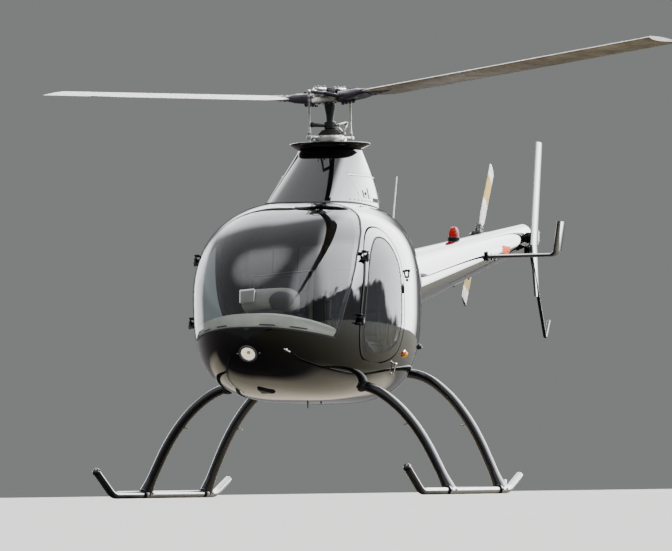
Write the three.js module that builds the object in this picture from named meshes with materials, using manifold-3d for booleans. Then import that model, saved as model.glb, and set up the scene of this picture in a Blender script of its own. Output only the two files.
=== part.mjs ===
// A two-seat light helicopter on skids, at its real size, in millimetres.
// +X is the pilot's left (port), the nose looks along -Y and +Z is up. The ground is at Z = 0.
// Below, Y is measured from the rotor mast, and the whole aircraft is then moved to MAST_Y.
import * as THREE from "three";
import { mergeVertices } from "three/addons/utils/BufferGeometryUtils.js";
import Module from "manifold-3d";

const wasm = await Module();
wasm.setup();

// Driving dimensions
const MAST_Y = -1048; // puts the middle of the bounding box over the origin
const SEAT_GAP = 0.4; // between a piece and what it is seated on
const DOOR_GAP = 8; // round each door

// Body, a teardrop pod
const NOSE_Y = -1690;
const NOSE_Z = 900;
const WIDEST_Y = -440;
const HALF_WIDTH = 582;
const POD_END_Y = 1300;
const ROOF_Z = 1730;
const ROOF_Y = -300;
const BELLY_Z = 540;
const BELLY_Y = -600;
const BELT_Z = 1120;
const WALL = 25;
const GLASS = 6;
const SPLIT_Y = -60; // where the cabin meets the rear cowl
const POD_SIDES = 32;

// Tail boom, whose root is the pod's end
const BOOM_ROOT = { halfWidth: 175, top: 1477, bottom: 1105 };
const BOOM_END_Y = 4400;
const BOOM_TIP = { halfWidth: 72, top: 1788, bottom: 1616 };
const BOOM_WALL = 12;

// Rotors
const ROTOR_RADIUS = 3810;
const BLADE_CHORD = 200;
const BLADE_THICKNESS = 0.125; // of the chord
const PRECONE = 2.7;
const BLADE_PITCH = 6;
const BLADE_HEADING = -46; // of blade a, from +X
const REST_TEETER = 1.8; // blade a's side hangs lower by this
const HUB_Z = 2343;
const TEETER_Z = 2385;
const LINK_OFFSET = 137;
const MAST_RADIUS = 22.5;
const TAIL_ROTOR = { radius: 600, chord: 118, x: -310, y: 4440, z: 1729, lean: -38 };

// Landing gear
const SKID = { x: 915, radius: 22.5, toeTip: [-1650, 155], toe: -1370, heel: 520, heelTip: [800, 108] };
const TUBE_RADIUS = 29;
const CROSS_TUBES = { front: { y: -780, top: 640 }, rear: { y: 350, top: 722 } };

// Door hinges, on one line, seen from the side as [y, z]
const HINGE = { x: 517, low: [-1125, 995], high: [-1013, 1360] };

const rad = THREE.MathUtils.degToRad;
const v3 = (x, y, z) => new THREE.Vector3(x, y, z);

// Solids

function solid(geometry) {
  const bare = new THREE.BufferGeometry();
  bare.setAttribute("position", geometry.getAttribute("position").clone());
  if (geometry.index) bare.setIndex(geometry.index.clone());
  const merged = mergeVertices(bare, 1e-3);
  const corners = new Uint32Array(merged.index.array);
  const make = () =>
    new wasm.Manifold(
      new wasm.Mesh({ numProp: 3, vertProperties: merged.attributes.position.array, triVerts: corners }),
    );
  const made = make();
  if (made.volume() > 0) return made;
  for (let i = 0; i < corners.length; i += 3) {
    [corners[i + 1], corners[i + 2]] = [corners[i + 2], corners[i + 1]];
  }
  return make();
}

function join(...solids) {
  return solids.reduce((all, one) => all.add(one));
}

function moved(body, position, rotation = [0, 0, 0]) {
  return body.rotate(rotation).translate(position);
}

function box(size, centre, rotation) {
  return moved(solid(new THREE.BoxGeometry(...size)), centre, rotation);
}

// A cylinder or cone from one point to another
function rod(from, to, radius, endRadius = radius, sides = 16) {
  const along = to.clone().sub(from);
  const geometry = new THREE.CylinderGeometry(endRadius, radius, along.length(), sides);
  geometry.applyQuaternion(new THREE.Quaternion().setFromUnitVectors(v3(0, 1, 0), along.clone().normalize()));
  const middle = from.clone().add(to).multiplyScalar(0.5);
  geometry.translate(middle.x, middle.y, middle.z);
  return solid(geometry);
}

// A round tube along a curve
function tube(curve, radius, steps, sides = 10) {
  const section = new THREE.Shape();
  for (let i = 0; i < sides; i++) {
    const angle = (i / sides) * 2 * Math.PI;
    const point = [radius * Math.cos(angle), radius * Math.sin(angle)];
    if (i) section.lineTo(...point);
    else section.moveTo(...point);
  }
  return solid(new THREE.ExtrudeGeometry(section, { extrudePath: curve, steps, bevelEnabled: false }));
}

// A solid of revolution about a vertical axis, from [radius, z] points
function turned(profile, sides = 28) {
  const geometry = new THREE.LatheGeometry(
    profile.map(([r, z]) => new THREE.Vector2(r, z)),
    sides,
  );
  geometry.rotateX(Math.PI / 2);
  return solid(geometry);
}

// A solid through closed rings of points, with flat ends
function loft(rings) {
  const count = rings[0].length;
  const positions = rings.flat().flatMap((p) => [p.x, p.y, p.z]);
  const faces = [];
  for (let i = 0; i + 1 < rings.length; i++) {
    for (let j = 0; j < count; j++) {
      const [a, b] = [i * count + j, i * count + ((j + 1) % count)];
      faces.push(a, b, b + count, a, b + count, a + count);
    }
  }
  for (const [ring, first, flip] of [
    [rings[0], 0, true],
    [rings.at(-1), (rings.length - 1) * count, false],
  ]) {
    const middle = ring.reduce((sum, p) => sum.add(p), v3(0, 0, 0)).divideScalar(count);
    const centre = positions.length / 3;
    positions.push(middle.x, middle.y, middle.z);
    for (let j = 0; j < count; j++) {
      const [a, b] = [first + j, first + ((j + 1) % count)];
      faces.push(...(flip ? [b, a, centre] : [a, b, centre]));
    }
  }
  const geometry = new THREE.BufferGeometry();
  geometry.setAttribute("position", new THREE.Float32BufferAttribute(positions, 3));
  geometry.setIndex(faces);
  return solid(geometry);
}

// A flat outline in [y, z], extruded across the aircraft from one X to another
function sideCut(outline, fromX, toX) {
  const shape = new THREE.Shape(outline.map(([y, z]) => new THREE.Vector2(y, z)));
  const geometry = new THREE.ExtrudeGeometry(shape, { depth: toX - fromX, bevelEnabled: false });
  geometry.applyMatrix4(new THREE.Matrix4().makeBasis(v3(0, 1, 0), v3(0, 0, 1), v3(1, 0, 0)));
  geometry.translate(fromX, 0, 0);
  return solid(geometry);
}

// A closed smooth outline through [y, z] points, moved outwards by some distance
function smoothOutline(points, outwards = 0, samples = 28) {
  const curve = new THREE.CatmullRomCurve3(points.map(([y, z]) => v3(y, z, 0)), true, "centripetal");
  const turns = THREE.ShapeUtils.area(points.map(([y, z]) => new THREE.Vector2(y, z))) > 0 ? 1 : -1;
  return [...Array(samples).keys()].map((i) => {
    const at = curve.getPoint(i / samples);
    const along = curve.getTangent(i / samples);
    return [at.x + along.y * outwards * turns, at.y - along.x * outwards * turns];
  });
}

// The pod's outer surface: an ellipsoid nose, and a cowl that tapers to the boom

const ease = (share) => (1 - Math.cos(Math.PI * THREE.MathUtils.clamp(share, 0, 1))) / 2;
const mix = THREE.MathUtils.lerp;

// A superellipse's height at y, from 0 at the nose to 1 at its middle
function noseRise(y, middleY, power) {
  return y >= middleY ? 1 : Math.max(0, 1 - ((middleY - y) / (middleY - NOSE_Y)) ** power) ** (1 / power);
}

function podSection(y) {
  const rear = ease((Math.max(0, y - WIDEST_Y) / (POD_END_Y - WIDEST_Y)) ** 1.15);
  const roofFall = ease((y + 100) / (POD_END_Y + 100));
  const bellyRise = ease(y / POD_END_Y);
  const blunt = noseRise(y, WIDEST_Y, 2.1);
  return {
    halfWidth: mix(HALF_WIDTH * blunt, BOOM_ROOT.halfWidth, rear),
    top: mix(mix(NOSE_Z, ROOF_Z, noseRise(y, ROOF_Y, 2.1)), BOOM_ROOT.top, roofFall),
    bottom: mix(mix(NOSE_Z, BELLY_Z, noseRise(y, BELLY_Y, 2.2)), BOOM_ROOT.bottom, bellyRise),
    belt: mix(mix(NOSE_Z, BELT_Z, blunt), (BOOM_ROOT.top + BOOM_ROOT.bottom) / 2, rear),
    upper: mix(mix(2, 2.8, blunt), 2, rear),
    lower: mix(mix(2, 3, blunt), 2, rear),
  };
}

function superellipse({ halfWidth, top, bottom, belt, upper, lower }, y, sides) {
  return [...Array(sides).keys()].map((i) => {
    const angle = (i / sides) * 2 * Math.PI;
    const [c, s] = [Math.cos(angle), Math.sin(angle)];
    const power = 2 / (s >= 0 ? upper : lower);
    const x = halfWidth * Math.sign(c) * Math.abs(c) ** power;
    const rise = Math.sign(s) * Math.abs(s) ** power;
    return v3(x, y, belt + rise * (s >= 0 ? top - belt : belt - bottom));
  });
}

// The pod, shrunk inwards by inset
function pod(inset, front = 10, back = 9) {
  const shrunk = (s, by) => ({ ...s, halfWidth: s.halfWidth - by, top: s.top - by, bottom: s.bottom + by });
  const rings = [];
  for (let i = 0; i <= front; i++) {
    const angle = mix(0.05, 1, i / front) * (Math.PI / 2);
    const y = WIDEST_Y + (NOSE_Y - WIDEST_Y) * Math.cos(angle);
    const [inwards, backwards] = [inset * Math.sin(angle), inset * Math.cos(angle)];
    rings.push(superellipse(shrunk(podSection(y), inwards), y + backwards, POD_SIDES));
  }
  for (let i = 1; i <= back; i++) {
    const y = mix(WIDEST_Y, POD_END_Y, i / back);
    rings.push(superellipse(shrunk(podSection(y), inset), y, POD_SIDES));
  }
  if (inset > 0) rings.push(rings.at(-1).map((p) => p.clone().add(v3(0, 50, 0))));
  return loft(rings);
}

const outerPod = pod(0);
const innerPod = pod(WALL);
const linedPod = pod(WALL + SEAT_GAP); // what fits inside the shell
const shell = outerPod.subtract(innerPod);
const glassShell = outerPod.subtract(pod(GLASS));

// Openings, seen from the side as [y, z]
const WINDSHIELD = [
  [-1900, 985],
  [-1330, 892],
  [-1250, 1090],
  [-1170, 1240],
  [-1080, 1365],
  [-975, 1460],
  [-850, 1550],
  [-745, 1615],
  [-690, 1660],
  [-690, 1900],
  [-1900, 1900],
];
const DOOR = [
  [-495, 1150],
  [-500, 960],
  [-560, 830],
  [-700, 775],
  [-900, 765],
  [-1040, 795],
  [-1102, 880],
  [-1114, 1000],
  [-1080, 1180],
  [-1008, 1365],
  [-900, 1478],
  [-770, 1535],
  [-640, 1525],
  [-545, 1430],
  [-503, 1290],
];
const DOOR_WINDOW = [
  [-540, 1140],
  [-548, 985],
  [-600, 880],
  [-720, 828],
  [-900, 815],
  [-1010, 840],
  [-1058, 905],
  [-1066, 1000],
  [-1036, 1170],
  [-965, 1335],
  [-870, 1430],
  [-765, 1480],
  [-655, 1468],
  [-578, 1385],
  [-546, 1280],
];

// A straight-sided outline moves inwards towards a point inside it
function shrink(outline, distance, middle = [-1350, 1400]) {
  return outline.map(([y, z]) => {
    const away = new THREE.Vector2(y - middle[0], z - middle[1]).normalize();
    return [y - away.x * distance, z - away.y * distance];
  });
}

const aboveY = (y) => box([3000, 8000, 4000], [0, y + 4000, 1000]);
const ahead = (y) => box([3000, 8000, 4000], [0, y - 4000, 1000]);

// Materials

const finish = (values) => new THREE.MeshStandardMaterial(values);
const paint = (color, roughness, metalness = 0) => finish({ color, roughness, metalness });
const gloss = paint(0x0d0f10, 0.12);
const acrylic = finish({ color: 0x6f7a80, roughness: 0.05, transparent: true, opacity: 0.35 });
const matteBlack = paint(0x16171a, 0.55);
const white = paint(0xd9dadb, 0.3);
const steel = paint(0x9b9c98, 0.35, 0.9);
const aluminium = paint(0xb9b9b4, 0.4, 0.8);
const greyTrim = paint(0xa9a79c, 0.7);
const seatCloth = paint(0x2c2d31, 0.9);
const redLens = paint(0xb3150c, 0.15);
const amberLens = paint(0xe07a1a, 0.15);
const lampGlass = paint(0xe6e4da, 0.1);

const aircraft = new THREE.Group();
aircraft.position.y = MAST_Y;

function piece(name, body, material, parent = aircraft) {
  const made = body.getMesh();
  const geometry = new THREE.BufferGeometry();
  const positions = new Float32Array(made.numVert * 3);
  for (let i = 0; i < made.numVert; i++) {
    positions.set(made.vertProperties.subarray(i * made.numProp, i * made.numProp + 3), i * 3);
  }
  geometry.setAttribute("position", new THREE.BufferAttribute(positions, 3));
  geometry.setIndex(new THREE.BufferAttribute(made.triVerts, 1));
  const mesh = new THREE.Mesh(geometry.toNonIndexed(), material);
  mesh.geometry.computeVertexNormals();
  mesh.name = name;
  parent.add(mesh);
  return body;
}

const mirrored = (body) => body.mirror([1, 0, 0]);

// Landing gear: bowed cross tubes through the belly, and skids in their saddles

const PEG = { z: 405, length: 62, radius: 5 };
const BOW = [
  // X, share of the tube's height
  [852, 0.25],
  [779, 0.47],
  [706, 0.64],
  [609, 0.806],
  [480, 0.947],
  [360, 0.998],
  [160, 1],
];

// A tube's point on the left at some height
function legAt({ y, top }, z) {
  const above = BOW.findIndex(([, share]) => share * top > z);
  const [[lowX, low], [highX, high]] = [BOW[above - 1], BOW[above]];
  return v3(mix(lowX, highX, (z / top - low) / (high - low)), y, z);
}

function crossTube({ y, top }, grow = 0) {
  const side = [[SKID.x, SKID.radius + 6], ...BOW.map(([x, share]) => [x, top * share])];
  const left = side.map(([x, z]) => v3(x, y, z));
  const points = [...left, ...left.toReversed().map((p) => v3(-p.x, p.y, p.z))];
  return tube(new THREE.CatmullRomCurve3(points, false, "centripetal"), TUBE_RADIUS + grow, 36, 8);
}

// A line through points, with a round bend at each inner one
class BentLine extends THREE.Curve {
  constructor(points, bend) {
    super();
    this.path = new THREE.CurvePath();
    let from = points[0];
    for (let i = 1; i + 1 < points.length; i++) {
      const towards = (end) => end.clone().sub(points[i]).setLength(bend);
      const [back, on] = [towards(points[i - 1]), towards(points[i + 1])];
      const [into, out] = [points[i].clone().add(back), points[i].clone().add(on)];
      this.path.add(new THREE.LineCurve3(from, into));
      this.path.add(new THREE.QuadraticBezierCurve3(into, points[i], out));
      from = out;
    }
    this.path.add(new THREE.LineCurve3(from, points.at(-1)));
  }
  getPoint(t) {
    return this.path.getPoint(t);
  }
}

function skidCurve() {
  const ends = [SKID.toeTip, [SKID.toe, SKID.radius], [SKID.heel, SKID.radius], SKID.heelTip];
  return new BentLine(
    ends.map((p) => v3(SKID.x, ...p)),
    60,
  );
}

function makeGear() {
  const handlingLug = box([10, 60, 48], [SKID.x, SKID.heel - 65, 2 * SKID.radius + 14]);
  const skid = tube(skidCurve(), SKID.radius, 24, 12).add(handlingLug);
  for (const [name, place] of Object.entries(CROSS_TUBES)) {
    const saddle = (x) => rod(v3(x, place.y - 65, SKID.radius), v3(x, place.y + 65, SKID.radius), 31);
    const bore = (x) =>
      rod(v3(x, place.y - 90, SKID.radius), v3(x, place.y + 90, SKID.radius), SKID.radius + 1);
    const flatUnder = box([3000, 400, 200], [0, place.y, -100 + 1]);
    const leg = legAt(place, PEG.z);
    const peg = rod(leg, leg.clone().sub(v3(PEG.length, 0, 0)), PEG.radius, PEG.radius, 8);
    const carried = join(crossTube(place), saddle(SKID.x), saddle(-SKID.x), peg, mirrored(peg));
    const fitted = carried.subtract(bore(SKID.x)).subtract(bore(-SKID.x)).subtract(flatUnder);
    piece(`cross_tube_${name}`, fitted, gloss);
  }
  piece("skid_left", skid, matteBlack);
  piece("skid_right", mirrored(skid), matteBlack);
}

// Cabin

function hingeKnuckle(share, length) {
  const low = v3(HINGE.x, ...HINGE.low);
  const high = v3(HINGE.x, ...HINGE.high);
  const along = high.clone().sub(low).normalize();
  const middle = low.clone().lerp(high, share);
  return [-length / 2, length / 2].map((distance) => middle.clone().addScaledVector(along, distance));
}

const [HINGE_RUN, HINGE_RISE] = [HINGE.high[0] - HINGE.low[0], HINGE.high[1] - HINGE.low[1]];
const HINGE_LEAN = THREE.MathUtils.radToDeg(Math.atan2(HINGE_RUN, HINGE_RISE));

// The fixed half of a hinge: a pin on a bracket ahead of the door
function fixedHinge(share) {
  const [from, to] = hingeKnuckle(share, 74);
  const pin = rod(from, to, 5, 5, 10);
  const arms = [from, to].map((end) =>
    box([34, 42, 10], [end.x - 14, end.y - 21, end.z + 6], [-HINGE_LEAN, 0, 0]),
  );
  return join(pin, ...arms);
}

// The door's half: a sleeve on the pin, with an arm back to the door's skin
function doorHinge(share) {
  const [from, to] = hingeKnuckle(share, 44);
  const [boreFrom, boreTo] = hingeKnuckle(share, 90);
  const middle = from.clone().lerp(to, 0.5);
  const arm = box([28, 34, 36], [middle.x - 11, middle.y + 25, middle.z - 7], [-HINGE_LEAN, 0, 0]);
  return join(rod(from, to, 11, 11, 12), arm).subtract(rod(boreFrom, boreTo, 5.6, 5.6, 12));
}

const DOOR_HANDLE = { x: 580, y: -512, z: 1187, size: [18, 12, 44] };

function makeDoors(cabin) {
  const leaf = shell.intersect(sideCut(smoothOutline(DOOR), 100, 1000));
  const hole = sideCut(smoothOutline(DOOR_WINDOW), 100, 1000);
  const pane = glassShell.intersect(sideCut(smoothOutline(DOOR_WINDOW, -SEAT_GAP), 100, 1000));
  const { x, y, z, size } = DOOR_HANDLE;
  const handle = box(size, [x, y, z], [0, 0, 8]);
  const door = join(leaf.subtract(hole), doorHinge(0), doorHinge(1), handle).subtract(innerPod);
  const opening = sideCut(smoothOutline(DOOR, DOOR_GAP), 100, 1000);
  piece("door_left", door, gloss);
  piece("door_window_left", pane, acrylic);
  piece("door_right", mirrored(door), gloss);
  piece("door_window_right", mirrored(pane), acrylic);
  const doorway = outerPod.intersect(opening);
  const brackets = join(fixedHinge(0), fixedHinge(1)).subtract(doorway).subtract(innerPod);
  return join(cabin.subtract(opening).subtract(mirrored(opening)), brackets, mirrored(brackets));
}

const LANDING_LIGHT = { z: 805, radius: 46, backY: -1640 };

function makeCabin() {
  const { z, radius, backY } = LANDING_LIGHT;
  const lampRod = (toY, grow) => rod(v3(0, -1900, z), v3(0, toY, z), radius + grow, radius + grow, 24);
  const blank = shell
    .intersect(ahead(SPLIT_Y - SEAT_GAP))
    .subtract(sideCut(WINDSHIELD, -1000, 1000))
    .subtract(crossTube(CROSS_TUBES.front, 1));
  piece("cabin_shell", makeDoors(blank).subtract(lampRod(-1500, SEAT_GAP)), gloss);
  const pane = glassShell.intersect(sideCut(shrink(WINDSHIELD, SEAT_GAP), -1000, 1000));
  piece("windshield", pane, acrylic);
  piece("landing_light", lampRod(backY, 0).intersect(outerPod), lampGlass);
}

// Inside: floor with seat box, pedals and levers, rear bulkhead, seats and panel

const FLOOR_Z = 696;
const SEAT_BOX_TOP = FLOOR_Z + 92;
const BULKHEAD = { y: -130, thickness: 22 };
const SEAT = { x: 236, cushion: [400, 440, 100], back: [410, 90, 560], lean: -8 };

function makeCockpit() {
  const floorSlab = box([1400, 1560, 22], [0, -930, FLOOR_Z - 11]);
  const seatBox = box([930, 560, SEAT_BOX_TOP - FLOOR_Z], [0, -520, (SEAT_BOX_TOP + FLOOR_Z) / 2]);
  const bulkheadSlab = box([1400, BULKHEAD.thickness, 1400], [0, BULKHEAD.y, 1150]);
  let floor = floorSlab.add(seatBox);
  for (const side of [1, -1]) {
    const x = side * SEAT.x;
    for (const offset of [-62, 62]) {
      const foot = v3(x - side * 40 + offset, -1180, FLOOR_Z - 10);
      const tread = v3(x - side * 40 + offset, -1215, FLOOR_Z + 130);
      const pedal = box([80, 14, 60], tread.toArray(), [-18, 0, 0]);
      floor = join(floor, rod(foot, tread, 8, 8, 8), pedal);
    }
    const leverX = side > 0 ? 458 : 0;
    const pivot = v3(leverX, -560, FLOOR_Z + 30);
    floor = join(floor, rod(pivot, v3(leverX, -900, FLOOR_Z + 190), 11, 13, 10));
    floor = join(floor, rod(pivot, v3(leverX - 30, -560, FLOOR_Z + 30), 16, 16, 10));
  }
  floor = floor.intersect(linedPod).intersect(ahead(BULKHEAD.y - BULKHEAD.thickness / 2 - SEAT_GAP));
  piece("cabin_floor", floor, greyTrim);
  piece("bulkhead", bulkheadSlab.intersect(linedPod), matteBlack);

  for (const [name, side] of [["left", 1], ["right", -1]]) {
    const x = side * SEAT.x;
    const cushion = box(SEAT.cushion, [x, -572, SEAT_BOX_TOP + SEAT_GAP + SEAT.cushion[2] / 2]);
    const [, deep, tall] = SEAT.back;
    const lean = rad(-SEAT.lean);
    const rise = (deep * Math.sin(lean) + tall * Math.cos(lean)) / 2;
    const back = box(SEAT.back, [x, -245, SEAT_BOX_TOP + SEAT_GAP + rise], [SEAT.lean, 0, 0]);
    piece(`seat_cushion_${name}`, cushion, seatCloth);
    piece(`seat_back_${name}`, back, seatCloth);
    const stick = join(
      rod(v3(x, -930, FLOOR_Z + SEAT_GAP), v3(x, -930, FLOOR_Z + 40), 32, 22, 14),
      rod(v3(x, -930, FLOOR_Z + 30), v3(x, -860, FLOOR_Z + 330), 10, 10, 10),
      rod(v3(x, -862, FLOOR_Z + 320), v3(x, -852, FLOOR_Z + 430), 17, 15, 12),
    );
    piece(`cyclic_${name}`, stick, matteBlack);
  }

  const shelf = sideCut(
    [
      [-1760, 925],
      [-1700, 962],
      [-1560, 1018],
      [-1400, 1062],
      [-1250, 1088],
      [-1250, 1052],
      [-1400, 1026],
      [-1560, 980],
      [-1640, 925],
    ],
    -700,
    700,
  );
  const column = box([250, 170, 368], [0, -1345, FLOOR_Z + 184]);
  piece("instrument_deck", join(shelf, column).intersect(linedPod).subtract(floor), greyTrim);
  const pedestal = box([230, 120, 70], [-20, -1310, 1112]);
  const face = box([400, 150, 132], [-20, -1275, 1165], [-10, 0, 0]);
  piece("instrument_pod", join(pedestal, face).subtract(shelf.translate([0, 0, SEAT_GAP])), greyTrim);
}

// Rear cowl round the engine, which is one plain block on the belly

function makeRear() {
  let cowl = shell.intersect(aboveY(SPLIT_Y));
  cowl = cowl.intersect(ahead(POD_END_Y - 0.001));
  cowl = cowl.subtract(crossTube(CROSS_TUBES.rear, 1));
  piece("rear_cowl", cowl, gloss);
  const block = box([520, 480, 560], [0, 330, 1010]);
  const mountings = [-1, 1].map((side) => box([60, 300, 300], [side * 180, 330, 660]));
  const engine = join(block, ...mountings).intersect(linedPod).subtract(crossTube(CROSS_TUBES.rear, 2));
  piece("engine_block", engine, aluminium);
}

// Mast fairing: a tapered tower on the roof, with a flared cap

const FAIRING_TOP_Z = 2034;
const CAP_Z = 2078;

function fairingRings(inset, bottomZ, topZ) {
  return [0, 0.2, 0.4, 0.6, 0.8, 1].map((share) => {
    const z = mix(bottomZ, topZ, share);
    const up = THREE.MathUtils.clamp((z - 1690) / (FAIRING_TOP_Z - 1690), 0, 1);
    const [front, rear] = [mix(-730, -200, up), mix(400, 192, up ** 1.8)];
    const halfWidth = mix(285, 190, up ** 1.5) - inset;
    const [middle, half] = [(front + rear) / 2, (rear - front) / 2 - inset];
    const power = 2 / mix(2.7, 2, up);
    return [...Array(32).keys()].map((i) => {
      const angle = (i / 32) * 2 * Math.PI;
      const [c, s] = [Math.cos(angle), Math.sin(angle)];
      const x = halfWidth * Math.sign(c) * Math.abs(c) ** power;
      return v3(x, middle + half * Math.sign(s) * Math.abs(s) ** power, z);
    });
  });
}

function makeFairing() {
  const outside = loft(fairingRings(0, 1500, FAIRING_TOP_Z));
  const inside = loft(fairingRings(14, 1480, FAIRING_TOP_Z - 14));
  const neck = rod(v3(0, 0, 1900), v3(0, 0, 2200), 110, 110, 28);
  const tower = outside.subtract(inside).subtract(neck).subtract(pod(-SEAT_GAP)).subtract(innerPod);
  piece("mast_fairing", tower, gloss);
  const cap = turned([
    [74, FAIRING_TOP_Z + SEAT_GAP],
    [186, FAIRING_TOP_Z + SEAT_GAP],
    [236, CAP_Z - 10],
    [241, CAP_Z - 4],
    [238, CAP_Z],
    [74, CAP_Z],
    [74, FAIRING_TOP_Z + SEAT_GAP],
  ]);
  piece("fairing_cap", cap, gloss);
}

// Tail

const boomAt = (y) => {
  const share = (y - POD_END_Y) / (BOOM_END_Y - POD_END_Y);
  const between = (size) => mix(BOOM_ROOT[size], BOOM_TIP[size], share);
  const [halfWidth, top, bottom] = ["halfWidth", "top", "bottom"].map(between);
  return { halfWidth, top, bottom, belt: (top + bottom) / 2, upper: 2, lower: 2 };
};

// A symmetric aerofoil's outline, as [distance behind the nose, height] points
function aerofoil(chord, thickness) {
  const half = (s) =>
    5 * thickness * (0.2969 * Math.sqrt(s) - 0.126 * s - 0.3516 * s ** 2 + 0.2843 * s ** 3 - 0.1036 * s ** 4);
  const shares = [0.03, 0.12, 0.3, 0.6];
  const over = shares.map((s) => [s * chord, half(s) * chord]);
  const under = shares.toReversed().map((s) => [s * chord, -half(s) * chord]);
  return [[0, 0], ...over, [chord, 0], ...under];
}

// A blade or fin through [leading edge point, chord] stations
function foil(stations, thickness, aft, across) {
  return loft(
    stations.map(([at, chord]) =>
      aerofoil(chord, thickness).map(([back, up]) =>
        at.clone().addScaledVector(aft, back).addScaledVector(across, up),
      ),
    ),
  );
}

// A stretch of the boom, grown outwards for what is seated on it, or shrunk for its inside
function boomStretch(fromY, toY, grow = SEAT_GAP) {
  return loft(
    [fromY, toY].map((y) => {
      const { halfWidth, top, bottom, ...rest } = boomAt(y);
      const grown = { ...rest, halfWidth: halfWidth + grow, top: top + grow, bottom: bottom - grow };
      return superellipse(grown, y, 24);
    }),
  );
}

const FIN_X = 112;

function makeTail() {
  const boom = boomStretch(POD_END_Y + SEAT_GAP, BOOM_END_Y, 0);
  const boomInside = boomStretch(POD_END_Y - 10, BOOM_END_Y + 10, -BOOM_WALL);
  piece("tail_boom", boom.subtract(boomInside), gloss);

  const { x, y, z } = TAIL_ROTOR;
  const coneZ = (BOOM_TIP.top + BOOM_TIP.bottom) / 2;
  const gearbox = join(
    rod(v3(0, BOOM_END_Y + SEAT_GAP, coneZ), v3(0, BOOM_END_Y + 30, coneZ), 71, 64, 24),
    box([84, 110, 110], [0, BOOM_END_Y + 60, z - 14]),
    rod(v3(-40, y, z), v3(x + 120, y, z), 34, 26, 20),
    rod(v3(30, y + 60, z - 20), v3(70, y + 60, z - 20), 56, 50, 24),
  );
  piece("tail_gearbox", gearbox, aluminium);

  const [aft, across] = [v3(0, 1, 0), v3(1, 0, 0)];
  const fin = (rows) =>
    foil(
      rows.map(([edgeY, edgeZ, chord]) => [v3(FIN_X, edgeY, edgeZ), chord]),
      0.1,
      aft,
      across,
    );
  const upper = fin([
    [4206, 1640, 190],
    [4400, 2335, 165],
  ]);
  const lower = fin([
    [4300, 1300, 125],
    [4206, 1638, 190],
  ]);
  const boomEnd = boomStretch(4000, BOOM_END_Y - SEAT_GAP);
  const bracket = box([70, 60, 70], [FIN_X - 36, 4300, 1690]);
  piece("fin_upper", join(upper, bracket).subtract(boomEnd), gloss);
  const stinger = tube(
    new BentLine(
      [
        [4215, 1590],
        [4560, 1030],
        [4665, 1150],
      ].map((p) => v3(FIN_X, ...p)),
      25,
    ),
    11,
    24,
    8,
  );
  const lowerBracket = box([70, 50, 60], [FIN_X - 36, 4260, 1600]);
  const lowerFin = join(lower, lowerBracket, stinger).subtract(boomEnd);
  piece("fin_lower", lowerFin, gloss);
}

// Stabilizer halves on the boom's sides, each with an upturned winglet

const STABILIZER = { y: 3060, z: 1522, chord: 200, tip: 560, winglet: 225 };

function makeStabilizer() {
  const { y, z, chord, tip, winglet } = STABILIZER;
  const [aft, up, out] = [v3(0, 1, 0), v3(0, 0, 1), v3(1, 0, 0)];
  const plane = foil(
    [
      [v3(60, y, z), chord],
      [v3(tip, y, z), chord],
    ],
    0.09,
    aft,
    up,
  );
  const upturn = foil(
    [
      [v3(tip, y, z - 9), chord],
      [v3(tip + 22, y, z + winglet * 0.3), chord],
      [v3(tip + 30, y + 55, z + winglet), chord * 0.6],
    ],
    0.09,
    aft,
    out,
  );
  const boss = box([60, 170, 34], [128, y + 100, z]);
  const half = join(plane, upturn, boss).subtract(boomStretch(y - 200, y + 500));
  piece("stabilizer_left", half, gloss);
  piece("stabilizer_right", mirrored(half), gloss);
}

// Main rotor. Its blades lie along the head's own X, and the teeter pin along its own Y.

const CAP_TOP = CAP_Z + SEAT_GAP;
const SWASHPLATE = { bore: 30, radius: 98, thickness: 24 };

// A flat ring between two heights
function ring(inner, outer, fromZ, toZ) {
  return turned([
    [inner, fromZ],
    [outer, fromZ],
    [outer, toZ],
    [inner, toZ],
    [inner, fromZ],
  ]);
}

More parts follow.
